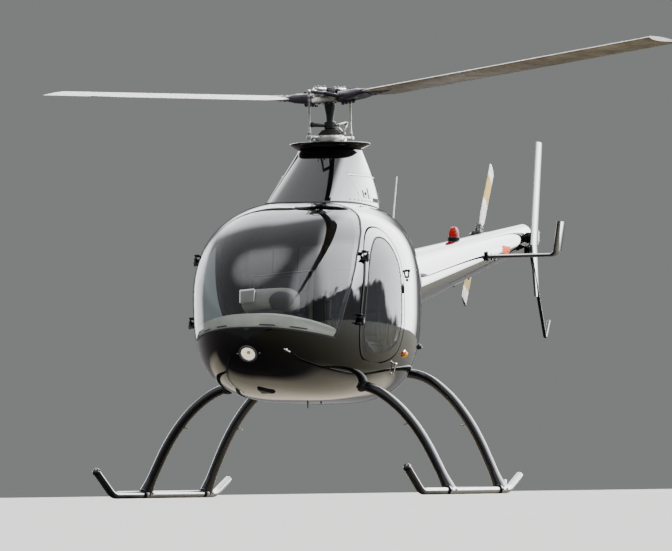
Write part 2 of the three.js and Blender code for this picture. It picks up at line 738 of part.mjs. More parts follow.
function makeMast(spinner) {
  const { bore, radius, thickness } = SWASHPLATE;
  const upperZ = CAP_TOP + thickness + SEAT_GAP;
  const upperTop = upperZ + thickness;
  piece("swashplate_lower", ring(bore, radius, CAP_TOP, CAP_TOP + thickness), steel);

  const arm = box([40, 2 * LINK_OFFSET, thickness - 6], [0, 0, upperZ + thickness / 2]);
  const socket = join(
    ...[1, -1].map((side) =>
      rod(v3(0, side * LINK_OFFSET, upperZ), v3(0, side * LINK_OFFSET, upperZ + thickness - 3), 20),
    ),
  );
  const hollow = rod(v3(0, 0, upperZ - 10), v3(0, 0, upperTop + 60), MAST_RADIUS + SEAT_GAP, undefined, 28);
  const boot = turned([
    [MAST_RADIUS - 3, upperTop - 4],
    [80, upperTop - 4],
    [40, upperTop + 34],
    [MAST_RADIUS - 3, upperTop + 34],
    [MAST_RADIUS - 3, upperTop - 4],
  ]);
  const rotating = join(ring(MAST_RADIUS - 3, radius, upperZ, upperTop), arm, socket, boot);
  piece("swashplate_upper", rotating.subtract(hollow), steel, spinner);

  const shaft = rod(v3(0, 0, 1840), v3(0, 0, TEETER_Z - 20), MAST_RADIUS, undefined, 28);
  const collar = rod(v3(0, 0, 2170), v3(0, 0, 2205), 36, undefined, 20);
  const shoulder = rod(v3(0, 0, 2235), v3(0, 0, 2300), MAST_RADIUS, 34, 20);
  const trunnion = box([50, 50, 48], [0, 0, TEETER_Z]);
  const pin = rod(v3(0, -100, TEETER_Z), v3(0, 100, TEETER_Z), 11);
  const drive = box([26, 118, 22], [0, -72, 2188]);
  const driven = box([26, 60, 14], [0, 60, 2196], [18, 0, 0]);
  piece("mast", join(shaft, collar, shoulder, trunnion, pin, drive, driven), matteBlack, spinner);

  for (const [name, side] of [["a", 1], ["b", -1]]) {
    const y = side * LINK_OFFSET;
    const link = join(
      rod(v3(0, y, upperTop - 2.6), v3(0, y, TEETER_Z), 6, 6, 12),
      rod(v3(0, y, upperTop - 2.6), v3(0, y, upperTop + 22), 10, 8, 12),
      rod(v3(0, y - 9, TEETER_Z), v3(0, y + 9, TEETER_Z), 12, 12, 16),
    );
    piece(`pitch_link_${name}`, link, steel, spinner);
  }
}

const GRIP_ROOT = 150;
const GRIP_BOLTS = { radii: [178, 222, 266, 310], size: 11, length: 48 }; // places along the blade

function makeHead(spinner) {
  const head = new THREE.Group();
  head.position.z = TEETER_Z;
  head.rotation.y = rad(REST_TEETER);
  spinner.add(head);
  const seated = (body) => body.translate([0, 0, -TEETER_Z]);
  const bar = box([2 * (GRIP_ROOT - SEAT_GAP), 92, 40], [0, 0, HUB_Z]);
  const plate = box([150, 196, 12], [0, 0, HUB_Z + 24]);
  const bearings = [1, -1].map((side) => box([62, 60, 60], [0, side * 66, TEETER_Z - 4]));
  const window = box([84, 62, 200], [0, 0, HUB_Z]);
  const pinHole = rod(v3(0, -120, TEETER_Z), v3(0, 120, TEETER_Z), 11.5);
  const yoke = join(bar, plate, ...bearings).subtract(window).subtract(pinHole);
  piece("rotor_yoke", seated(yoke), steel, head);

  const [down, up] = [rad(-BLADE_PITCH), rad(PRECONE)];
  const outward = v3(Math.cos(up), 0, Math.sin(up));
  const aft = v3(0, 1, 0).applyAxisAngle(outward, down);
  const across = v3(0, 0, 1).applyAxisAngle(v3(0, 1, 0), -up).applyAxisAngle(outward, down);
  const along = (radius) => v3(0, 0, HUB_Z).addScaledVector(outward, radius);
  const section = (radius, chord) => [along(radius).addScaledVector(aft, -chord * 0.28), chord];
  const wing = (rows) => foil(rows, BLADE_THICKNESS, aft, across);
  const blade = wing([section(560, BLADE_CHORD), section(ROTOR_RADIUS - 0.1, BLADE_CHORD)]);
  const cuff = loft(
    [
      [GRIP_ROOT, 33, 33],
      [260, 42, 33],
      [600, 62, 24],
      [760, 70, 20],
    ].map(([radius, halfWidth, halfHeight]) =>
      [...Array(16).keys()].map((i) => {
        const angle = (i / 16) * 2 * Math.PI;
        const [c, k] = [Math.cos(angle), Math.sin(angle)];
        return along(radius)
          .addScaledVector(aft, halfWidth * Math.sign(c) * Math.abs(c) ** 0.7)
          .addScaledVector(across, halfHeight * Math.sign(k) * Math.abs(k) ** 0.7);
      }),
    ),
  );
  const hornBend = v3(150, -106, TEETER_Z - 16);
  const hornFoot = v3(190, -20, HUB_Z + 6);
  const horn = join(rod(hornFoot, hornBend, 11), rod(hornBend, v3(0, -114, TEETER_Z), 10, 8));
  const { radii, size, length } = GRIP_BOLTS;
  const bolts = radii.map((radius) =>
    rod(along(radius), along(radius).addScaledVector(across, -length), size, size, 8),
  );
  const square = box([400, 400, 400], [GRIP_ROOT - 200, 0, HUB_Z]);
  const bladeRoom = wing([section(550, BLADE_CHORD + 3), section(1000, BLADE_CHORD + 3)]);
  const bladeRoomDeep = bladeRoom.translate([0, 0, SEAT_GAP]).add(bladeRoom.translate([0, 0, -SEAT_GAP]));
  const grip = join(cuff.subtract(square), horn, ...bolts).subtract(bladeRoomDeep);
  for (const [name, turn] of [["a", 0], ["b", 180]]) {
    piece(`blade_grip_${name}`, seated(grip.rotate([0, 0, turn])), matteBlack, head);
    piece(`rotor_blade_${name}`, seated(blade.rotate([0, 0, turn])), white, head);
  }
}

function makeRotor() {
  const spinner = new THREE.Group();
  spinner.rotation.z = rad(BLADE_HEADING);
  aircraft.add(spinner);
  makeMast(spinner);
  makeHead(spinner);
}

// Tail rotor, on the right side. It is drawn with its blades along Z.

function makeTailRotor() {
  const { radius, chord, x, y, z, lean } = TAIL_ROTOR;
  const rotor = new THREE.Group();
  rotor.position.set(x, y, z);
  rotor.rotation.x = rad(lean);
  aircraft.add(rotor);
  const hub = join(
    rod(v3(-x - 190 - SEAT_GAP, 0, 0), v3(-30, 0, 0), 14, 14, 16),
    box([34, 60, 150], [0, 0, 0]),
    rod(v3(24, 0, 0), v3(-46, 0, 0), 30, 24, 20),
  );
  const vane = foil(
    [
      [v3(0, -chord * 0.3, 60), chord * 0.5],
      [v3(0, -chord * 0.3, 150), chord],
      [v3(0, -chord * 0.3, radius), chord],
    ],
    0.12,
    v3(0, 1, 0),
    v3(1, 0, 0),
  );
  piece("tail_rotor_hub", hub, steel, rotor);
  const blade = vane.subtract(box([36, 62, 150 + 2 * SEAT_GAP], [0, 0, 0]));
  for (const [name, turn] of [["a", 0], ["b", 180]]) {
    piece(`tail_blade_${name}`, blade.rotate([turn, 0, 0]), white, rotor);
  }
}

// Small pieces on the skin: beacon, side lamps and antenna

const SIDE_LAMP = { x: [530, 573], y: -412, z: 817, radius: 19 };

function makeSmallPieces() {
  const { x, y, z, radius } = SIDE_LAMP;
  const lamp = rod(v3(x[0], y, z), v3(x[1], y, z), radius + 5, radius - 5, 16).subtract(pod(-SEAT_GAP));
  piece("side_lamp_left", lamp, amberLens);
  piece("side_lamp_right", mirrored(lamp), amberLens);
  const beaconY = 2710;
  const seat = boomAt(beaconY).top - 3;
  const beacon = join(
    rod(v3(0, beaconY, seat - 20), v3(0, beaconY, seat + 20), 40, 40, 20),
    rod(v3(0, beaconY, seat + 15), v3(0, beaconY, seat + 85), 33, 27, 20),
  );
  piece("beacon", beacon.subtract(boomStretch(beaconY - 150, beaconY + 150)), redLens);
  const antenna = join(
    rod(v3(165, 690, 1500), v3(170, 740, 1700), 9, 6, 8),
    rod(v3(170, 736, 1680), v3(174, 810, 1925), 5, 4, 8),
  );
  piece("antenna", antenna.subtract(pod(-SEAT_GAP)), white);
}

makeGear();
makeCabin();
makeCockpit();
makeRear();
makeFairing();
makeTail();
makeStabilizer();
makeRotor();
makeTailRotor();
makeSmallPieces();

export default aircraft;
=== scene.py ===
"""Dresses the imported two-seat light helicopter.

Lengths are metres, +X is its left side, and the nose looks along -Y. Y values in the tables are measured from
the rotor mast, and at() moves them to the frame.
"""
import math

import bmesh
import bpy
import numpy as np
from mathutils import Matrix, Quaternion, Vector
from mathutils.bvhtree import BVHTree


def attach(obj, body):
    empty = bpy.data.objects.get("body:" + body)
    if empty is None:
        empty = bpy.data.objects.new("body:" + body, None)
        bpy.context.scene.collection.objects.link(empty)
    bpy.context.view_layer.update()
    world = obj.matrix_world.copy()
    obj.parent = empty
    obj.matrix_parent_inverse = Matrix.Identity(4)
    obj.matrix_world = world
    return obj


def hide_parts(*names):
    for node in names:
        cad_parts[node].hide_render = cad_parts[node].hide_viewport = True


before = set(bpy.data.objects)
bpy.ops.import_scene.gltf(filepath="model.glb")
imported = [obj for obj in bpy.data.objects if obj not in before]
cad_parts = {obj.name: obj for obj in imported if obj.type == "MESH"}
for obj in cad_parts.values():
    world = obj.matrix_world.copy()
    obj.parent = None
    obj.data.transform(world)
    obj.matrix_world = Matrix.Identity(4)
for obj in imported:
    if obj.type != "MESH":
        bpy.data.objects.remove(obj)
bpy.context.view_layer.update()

MAST_Y = -1.048
GAP = 0.0004  # between a piece and what it is seated on

# Pod
NOSE_Y, NOSE_Z = -1.690, 0.900
WIDEST_Y, HALF_WIDTH = -0.440, 0.582
POD_END_Y = 1.300
ROOF_Z, ROOF_Y = 1.730, -0.300
BELLY_Z, BELLY_Y = 0.540, -0.600
BELT_Z = 1.120
WALL, GLASS = 0.025, 0.006
SPLIT_Y = -0.060
DOOR_GAP = 0.008
BOOM_ROOT = {"half_width": 0.175, "top": 1.477, "bottom": 1.105}
BOOM_END_Y = 4.400
BOOM_TIP = {"half_width": 0.072, "top": 1.788, "bottom": 1.616}
BOOM_MIDDLE = (BOOM_ROOT["top"] + BOOM_ROOT["bottom"]) / 2
LIGHT_Z = 0.805  # the landing light's middle
LEFT, RIGHT, ACROSS = (0.1, 1.0), (-1.0, -0.1), (-1.0, 1.0)  # from X to X

# Rotors
ROTOR_RADIUS, BLADE_CHORD, BLADE_THICKNESS = 3.810, 0.200, 0.125
PRECONE, BLADE_PITCH, BLADE_HEADING = 2.7, 6.0, -46.0
REST_TEETER = 1.8  # blade a's side hangs lower by this
HUB_Z, TEETER_Z, MAST_RADIUS, LINK_OFFSET = 2.343, 2.385, 0.0225, 0.137
TAIL_HUB, TAIL_CHORD, TAIL_LEAN = (-0.310, 4.440, 1.729), 0.118, -38.0

# Landing gear
SKID_X, SKID_RADIUS, TUBE_RADIUS = 0.915, 0.0225, 0.029
CROSS_TUBES = {"front": (-0.780, 0.640), "rear": (0.350, 0.722)}  # Y and top

# Camera, fitted to the skids, the pod and the rotor head in the photo
CAMERA_DISTANCE, CAMERA_HEIGHT = 33.0, 0.02
CAMERA_AZIMUTH, CAMERA_TILT, CAMERA_ROLL = 16.69, 2.22, 0.78
PIXELS_PER_METRE, MAST_COLUMN = 169.5, 332.1
IMAGE_WIDTH = 672


def at(x, y, z):
    """A point of the frame from one measured from the mast."""
    return Vector((x, y + MAST_Y, z))


# Meshes


def mesh_object(name, points, faces, smooth=30.0):
    mesh = bpy.data.meshes.new(name)
    mesh.from_pydata([tuple(p) for p in points], [], [tuple(f) for f in faces])
    mesh.validate()
    made = bpy.data.objects.new(name, mesh)
    bpy.context.scene.collection.objects.link(made)
    if smooth:
        mesh.shade_smooth()
        mesh.set_sharp_from_angle(angle=math.radians(smooth))
    return made


def loft(rings, closed=True):
    """A skin through rings of points, with its ends closed."""
    count = len(rings[0])
    points = [p for ring in rings for p in ring]
    faces = []
    for i in range(len(rings) - 1):
        for j in range(count):
            a, b = i * count + j, i * count + (j + 1) % count
            faces.append((a, b, b + count, a + count))
    if closed:
        faces.append(tuple(reversed(range(count))))
        faces.append(tuple(range(len(points) - count, len(points))))
    return points, faces


def hoop(rings):
    """A skin through rings of points whose last ring joins its first."""
    points, faces = loft(rings, closed=False)
    sides = len(rings[0])
    last = len(points) - sides
    faces += [(last + k, last + (k + 1) % sides, (k + 1) % sides, k) for k in range(sides)]
    return points, faces


def joined(*parts):
    """Several (points, faces) in one."""
    points, faces = [], []
    for some_points, some_faces in parts:
        start = len(points)
        points += [tuple(p) for p in some_points]
        faces += [tuple(i + start for i in face) for face in some_faces]
    return points, faces


def outward(made):
    """Turns a closed mesh's faces outwards."""
    work = bmesh.new()
    work.from_mesh(made.data)
    bmesh.ops.recalc_face_normals(work, faces=work.faces)
    if work.calc_volume(signed=True) < 0:
        bmesh.ops.reverse_faces(work, faces=work.faces)
    work.to_mesh(made.data)
    work.free()
    return made


def solid(name, part, smooth=30.0):
    """A closed mesh from (points, faces), its faces turned outwards."""
    return outward(mesh_object(name, *part, smooth=smooth))


def cutter(part):
    return solid("cut", part, smooth=None)


def baked(made):
    """Puts the result of made's modifiers in its mesh."""
    bpy.context.view_layer.update()
    result = bpy.data.meshes.new_from_object(made.evaluated_get(bpy.context.evaluated_depsgraph_get()))
    made.modifiers.clear()
    made.data = result


def combine(made, cutter, operation):
    """A boolean whose result stays in made's mesh."""
    modifier = made.modifiers.new("cut", "BOOLEAN")
    modifier.operation = operation
    modifier.solver = "MANIFOLD"
    modifier.object = cutter
    baked(made)
    bpy.data.objects.remove(cutter)
    return made


def soften(made, angle=30.0):
    made.data.shade_smooth()
    made.data.set_sharp_from_angle(angle=math.radians(angle))
    return made


def copy_of(source, name):
    made = source.copy()
    made.data = source.data.copy()
    made.name = name
    bpy.context.scene.collection.objects.link(made)
    return made


def mirrored(source, name):
    made = copy_of(source, name)
    made.data.transform(Matrix.Scale(-1, 4, (1, 0, 0)))
    made.data.flip_normals()
    return made


def frame_along(direction):
    """Two vectors square to a direction."""
    direction = Vector(direction).normalized()
    side = Vector((0, 0, 1)) if abs(direction.z) < 0.9 else Vector((1, 0, 0))
    first = direction.cross(side).normalized()
    return first, direction.cross(first).normalized()


def circle(centre, first, second, radius, sides):
    angles = [2 * math.pi * i / sides for i in range(sides)]
    return [centre + radius * (math.cos(a) * first + math.sin(a) * second) for a in angles]


def turned(start, end, profile, sides=32):
    """A solid of revolution from start to end, from (share of the way, radius) rows."""
    start, end = Vector(start), Vector(end)
    across = frame_along(end - start)
    return loft([circle(start.lerp(end, share), *across, radius, sides) for share, radius in profile])


def ring_tube(path, radius, axis, sides=10):
    """A round tube along a closed loop that lies square to axis."""
    rings = []
    for i, point in enumerate(path):
        along = (path[(i + 1) % len(path)] - path[i - 1]).normalized()
        rings.append(circle(point, axis, along.cross(axis).normalized(), radius, sides))
    return hoop(rings)


def rod(start, end, radius, end_radius=None, sides=24, edge=0.0015):
    """A cylinder or cone with small chamfers."""
    end_radius = radius if end_radius is None else end_radius
    length = (Vector(end) - Vector(start)).length
    edge = min(edge, radius * 0.4, end_radius * 0.4, length * 0.3)
    cut = edge / length
    profile = [(0, radius - edge), (cut, radius), (1 - cut, end_radius), (1, end_radius - edge)]
    return turned(start, end, profile, sides)


def tube(path, radius, sides=20):
    """A round tube along points, with its ends closed."""
    path = [Vector(p) for p in path]
    first, _ = frame_along(path[1] - path[0])
    rings = []
    for i, point in enumerate(path):
        along = (path[min(i + 1, len(path) - 1)] - path[max(i - 1, 0)]).normalized()
        first = (first - along * first.dot(along)).normalized()
        rings.append(circle(point, first, along.cross(first), radius, sides))
    return loft(rings)


def block(size, centre, turn=(0, 0, 0), edge=0.002):
    """A box with rounded edges. turn is in degrees about X, Y and Z."""
    work = bmesh.new()
    bmesh.ops.create_cube(work, size=1.0, matrix=Matrix.Diagonal((*size, 1)))
    if edge:
        bmesh.ops.bevel(work, geom=work.edges[:], offset=edge, segments=2, profile=0.5, affect="EDGES")
    rotation = Quaternion((1, 0, 0), math.radians(turn[0]))
    rotation = Quaternion((0, 1, 0), math.radians(turn[1])) @ rotation
    rotation = Quaternion((0, 0, 1), math.radians(turn[2])) @ rotation
    points = [rotation @ v.co + Vector(centre) for v in work.verts]
    work.verts.index_update()
    faces = [[v.index for v in face.verts] for face in work.faces]
    work.free()
    return points, faces


def lathe(rows, centre=(0, 0), sides=48, hollow=False):
    """A solid of revolution about a vertical line, from (radius, z) rows. A hollow one closes on itself."""
    angles = [2 * math.pi * i / sides for i in range(sides)]
    rings = [[(centre[0] + r * math.cos(a), centre[1] + r * math.sin(a), z) for a in angles] for r, z in rows]
    return hoop(rings) if hollow else loft(rings)


def bolt(base, direction, size, height):
    """A hexagon head on its washer. size is across the corners."""
    base, direction = Vector(base), Vector(direction).normalized()
    seat = base + direction * 0.15 * size
    washer = rod(base, seat, 0.62 * size, edge=0.0003)
    rows = [(0, size / 2), (0.8, size / 2), (1, 0.4 * size)]
    return joined(washer, turned(seat, base + direction * height, rows, 6))


def rivet(base, direction, radius, rise=0.35):
    """A low round head."""
    base, direction = Vector(base), Vector(direction).normalized()
    rows = [(0, radius), (0.5, 0.88 * radius), (0.85, 0.5 * radius), (1, 0.12 * radius)]
    return turned(base - direction * 0.0003, base + direction * radius * rise, rows, 12)


def ball(centre, radius, sides=20):
    """A ball with small flats at its poles."""
    angles = [math.pi * mix(0.04, 0.96, t) for t in np.linspace(0, 1, 11)]
    rows = [(0.5 - 0.5 * math.cos(a), radius * math.sin(a)) for a in angles]
    reach = Vector((0, 0, radius))
    return turned(Vector(centre) - reach, Vector(centre) + reach, rows, sides)


def placed(part, matrix):
    """A part's points, moved by a matrix."""
    points, faces = part
    return [matrix @ Vector(p) for p in points], faces


def mirror_of(part):
    """A part's mirror image on the other side."""
    points, faces = part
    return [(-p[0], p[1], p[2]) for p in points], [tuple(reversed(face)) for face in faces]


def both(part):
    """A part and its mirror image on the other side."""
    return joined(part, mirror_of(part))


def unchanged(part):
    return part


# Each side's name, and how a part made for the left gets there
SIDES = (("left", unchanged), ("right", mirror_of))


def rounded(sides, power, other=None):
    """Points of a square of half size 1 with round corners. A lower power makes it squarer."""
    ring = []
    for i in range(sides):
        angle = 2 * math.pi * i / sides
        c, s = math.cos(angle), math.sin(angle)
        ring.append((math.copysign(abs(c) ** power, c), math.copysign(abs(s) ** (other or power), s)))
    return ring


def side_prism(outline, reach):
    """A flat outline in (y, z), extruded across the aircraft. reach is from X to X."""
    return cutter(loft([[(x, y + MAST_Y, z) for y, z in outline] for x in reach]))


def catmull(points, samples, closed=False):
    """A smooth centripetal curve through points."""
    points = [np.array(p, float) for p in points]
    if closed:
        padded = [points[-1], *points, points[0], points[1]]
    else:
        padded = [2 * points[0] - points[1], *points, 2 * points[-1] - points[-2]]
    spans = len(padded) - 3
    out = []
    for i in range(samples + (0 if closed else 1)):
        position = i / samples * spans
        k = min(int(position), spans - 1)
        t = position - k
        p0, p1, p2, p3 = padded[k : k + 4]
        d1, d2, d3 = (max(np.linalg.norm(b - a), 1e-9) ** 0.5 for a, b in ((p0, p1), (p1, p2), (p2, p3)))
        m1 = (p1 - p0) / d1 - (p2 - p0) / (d1 + d2) + (p2 - p1) / d2
        m2 = (p2 - p1) / d2 - (p3 - p1) / (d2 + d3) + (p3 - p2) / d3
        m1, m2 = m1 * d2, m2 * d2
        out.append(
            (2 * t**3 - 3 * t**2 + 1) * p1
            + (t**3 - 2 * t**2 + t) * m1
            + (3 * t**2 - 2 * t**3) * p2
            + (t**3 - t**2) * m2
        )
    return out


def grown(outline, outwards):
    """A closed outline in (y, z), moved outwards."""
    points = np.array(outline)
    after, before = np.roll(points, -1, axis=0), np.roll(points, 1, axis=0)
    area = 0.5 * np.sum(points[:, 0] * after[:, 1] - after[:, 0] * points[:, 1])
    along = after - before
    along /= np.linalg.norm(along, axis=1, keepdims=True)
    square = np.stack([along[:, 1], -along[:, 0]], axis=1) * (1 if area > 0 else -1)
    return points + square * outwards


# The pod's outer surface


def ease(share):
    return (1 - np.cos(np.pi * np.clip(share, 0, 1))) / 2


def mix(a, b, share):
    return a + (b - a) * share


def nose_rise(y, middle_y, power):
    """A superellipse's height at y, from 0 at the nose to 1 at its middle."""
    back = np.clip((middle_y - y) / (middle_y - NOSE_Y), 0, 1)
    return np.maximum(0, 1 - back**power) ** (1 / power)


def pod_section(y):
    """Half width, top, bottom, belt height and the two powers of the pod's section."""
    rear = ease((np.maximum(0, y - WIDEST_Y) / (POD_END_Y - WIDEST_Y)) ** 1.15)
    roof_fall = ease((y + 0.1) / (POD_END_Y + 0.1))
    belly_rise = ease(y / POD_END_Y)
    blunt = nose_rise(y, WIDEST_Y, 2.1)
    half_width = mix(HALF_WIDTH * blunt, BOOM_ROOT["half_width"], rear)
    top = mix(mix(NOSE_Z, ROOF_Z, nose_rise(y, ROOF_Y, 2.1)), BOOM_ROOT["top"], roof_fall)
    bottom = mix(mix(NOSE_Z, BELLY_Z, nose_rise(y, BELLY_Y, 2.2)), BOOM_ROOT["bottom"], belly_rise)
    belt = mix(mix(NOSE_Z, BELT_Z, blunt), BOOM_MIDDLE, rear)
    upper = mix(mix(2, 2.8, blunt), 2, rear)
    lower = mix(mix(2, 3, blunt), 2, rear)
    return half_width, top, bottom, belt, upper, lower


def superellipse(section, y, sides):
    half_width, top, bottom, belt, upper, lower = section
    ring = []
    for i in range(sides):
        angle = 2 * math.pi * i / sides
        c, s = math.cos(angle), math.sin(angle)
        power = 2 / (upper if s >= 0 else lower)
        x = half_width * math.copysign(abs(c) ** power, c)
        rise = math.copysign(abs(s) ** power, s)
        ring.append((x, y + MAST_Y, belt + rise * ((top - belt) if s >= 0 else (belt - bottom))))
    return ring


def pod(name, inset, front=44, back=36, sides=128):
    """The pod as one solid, shrunk inwards by inset."""
    rings = []
    for i in range(front + 1):
        angle = mix(0.02, 1, i / front) * math.pi / 2
        y = WIDEST_Y + (NOSE_Y - WIDEST_Y) * math.cos(angle)
        inwards, backwards = inset * math.sin(angle), inset * math.cos(angle)
        half_width, top, bottom, belt, upper, lower = pod_section(y)
        small = (half_width - inwards, top - inwards, bottom + inwards, belt, upper, lower)
        rings.append(superellipse(small, y + backwards, sides))
    for i in range(1, back + 1):
        y = mix(WIDEST_Y, POD_END_Y, i / back)
        half_width, top, bottom, belt, upper, lower = pod_section(y)
        small = (half_width - inset, top - inset, bottom + inset, belt, upper, lower)
        rings.append(superellipse(small, y, sides))
    if inset > 0:
        rings.append([(x, y + 0.05, z) for x, y, z in rings[-1]])
    return solid(name, loft(rings), smooth=None)


def pod_level(p):
    """Below 1 inside the pod and above 1 outside it, for points of the frame."""
    x, y, z = p[:, 0], np.clip(p[:, 1] - MAST_Y, NOSE_Y + 0.002, POD_END_Y), p[:, 2]
    half_width, top, bottom, belt, upper, lower = pod_section(y)
    above = z >= belt
    power = np.where(above, upper, lower)
    reach = np.where(above, top - belt, belt - bottom)
    return (np.abs(x / half_width) ** power + np.abs((z - belt) / reach) ** power) ** (1 / power)


def normals_of(level, points, step=0.0005):
    """A level function's outward directions at points."""
    gradient = np.stack(
        [level(points + step * axis) - level(points - step * axis) for axis in np.eye(3)],
        axis=1,
    )
    return gradient / np.maximum(np.linalg.norm(gradient, axis=1, keepdims=True), 1e-12)


def shade_from(made, level, likeness=0.86):
    """Takes the smooth surface's own normals wherever a face lies along it."""
    mesh = made.data
    mesh.shade_smooth()
    corners = np.empty(len(mesh.loops), int)
    mesh.loops.foreach_get("vertex_index", corners)
    points = np.empty(len(mesh.vertices) * 3)
    mesh.vertices.foreach_get("co", points)
    surface = normals_of(level, points.reshape(-1, 3))[corners]
    flat = np.empty((len(mesh.polygons), 3))
    mesh.polygons.foreach_get("normal", flat.ravel())
    counts = np.empty(len(mesh.polygons), int)
    mesh.polygons.foreach_get("loop_total", counts)
    flat = np.repeat(flat, counts, axis=0)
    along = np.sum(surface * flat, axis=1, keepdims=True)
    chosen = np.where(along > likeness, surface, np.where(along < -likeness, -surface, flat))
    mesh.normals_split_custom_set(chosen.tolist())
    return made


def lined(made):
    """Gives the faces that look into the pod a matt lining."""
    made.data.materials.append(M["dark_trim"])
    polygons = made.data.polygons
    outwards = normals_of(pod_level, np.array([polygon.center for polygon in polygons]))
    facing = np.sum(outwards * [polygon.normal for polygon in polygons], axis=1)
    for polygon, out in zip(polygons, facing):
        polygon.material_index = 1 if out < -0.5 else 0


def with_normal(level, point):
    """A point, and the direction out of the surface there."""
    return point, Vector(normals_of(level, np.array([point]))[0])


def pod_side(y, z):
    """The point on the pod's left side at y and z, and the direction out of it."""
    half_width, top, bottom, belt, upper, lower = (float(v) for v in pod_section(np.array(y)))
    power, reach = (upper, top - belt) if z >= belt else (lower, belt - bottom)
    x = half_width * (1 - abs((z - belt) / reach) ** power) ** (1 / power)
    return with_normal(pod_level, at(x, y, z))


def pod_front(x, z):
    """The point on the pod's nose at x and z, and the direction out of it."""
    low, high = NOSE_Y + 0.003, WIDEST_Y
    for _ in range(40):
        middle = (low + high) / 2
        inside = pod_level(np.array([at(x, middle, z)]))[0] < 1
        low, high = (low, middle) if inside else (middle, high)
    return with_normal(pod_level, at(x, low, z))


def pod_under(x, y):
    """The point on the pod's belly at x and y, and the direction out of it."""
    half_width, _, bottom, belt, _, lower = (float(v) for v in pod_section(np.array(y)))
    z = belt - (belt - bottom) * (1 - abs(x / half_width) ** lower) ** (1 / lower)
    return with_normal(pod_level, at(x, y, z))


def skin_patch(surface, us, vs, lift=0.0006, sunk=0.002):
    """A thin sheet that follows surface(u, v), which gives a point and the direction out of it."""
    outer, inner = [], []
    for u in us:
        for v in vs:
            point, out = surface(float(u), float(v))
            outer.append(point + out * lift)
            inner.append(point - out * sunk)
    rows, columns, total = len(us), len(vs), len(us) * len(vs)
    faces = []
    for i in range(rows - 1):
        for j in range(columns - 1):
            a, b = i * columns + j, (i + 1) * columns + j
            faces.append((a, a + 1, b + 1, b))
            faces.append((total + a, total + b, total + b + 1, total + a + 1))
    rim = [j for j in range(columns)] + [i * columns + columns - 1 for i in range(1, rows)]
    rim += [(rows - 1) * columns + j for j in range(columns - 2, -1, -1)]
    rim += [i * columns for i in range(rows - 2, 0, -1)]
    for a, b in zip(rim, rim[1:] + rim[:1]):
        faces.append((b, a, total + a, total + b))
    return [*outer, *inner], faces


# Outlines from the side, as (y, z)
WINDSHIELD = [
    (-1.900, 0.985),
    (-1.330, 0.892),
    (-1.250, 1.090),
    (-1.170, 1.240),
    (-1.080, 1.365),
    (-0.975, 1.460),
    (-0.850, 1.550),
    (-0.745, 1.615),
    (-0.690, 1.660),
    (-0.690, 1.900),
    (-1.900, 1.900),
]
DOOR = [
    (-0.495, 1.150),
    (-0.500, 0.960),
    (-0.560, 0.830),
    (-0.700, 0.775),
    (-0.900, 0.765),
    (-1.040, 0.795),
    (-1.102, 0.880),
    (-1.114, 1.000),
    (-1.080, 1.180),
    (-1.008, 1.365),
    (-0.900, 1.478),
    (-0.770, 1.535),
    (-0.640, 1.525),
    (-0.545, 1.430),
    (-0.503, 1.290),
]
DOOR_WINDOW = [
    (-0.540, 1.140),
    (-0.548, 0.985),
    (-0.600, 0.880),
    (-0.720, 0.828),
    (-0.900, 0.815),
    (-1.010, 0.840),
    (-1.058, 0.905),
    (-1.066, 1.000),
    (-1.036, 1.170),
    (-0.965, 1.335),
    (-0.870, 1.430),
    (-0.765, 1.480),
    (-0.655, 1.468),
    (-0.578, 1.385),
    (-0.546, 1.280),
]


# Materials


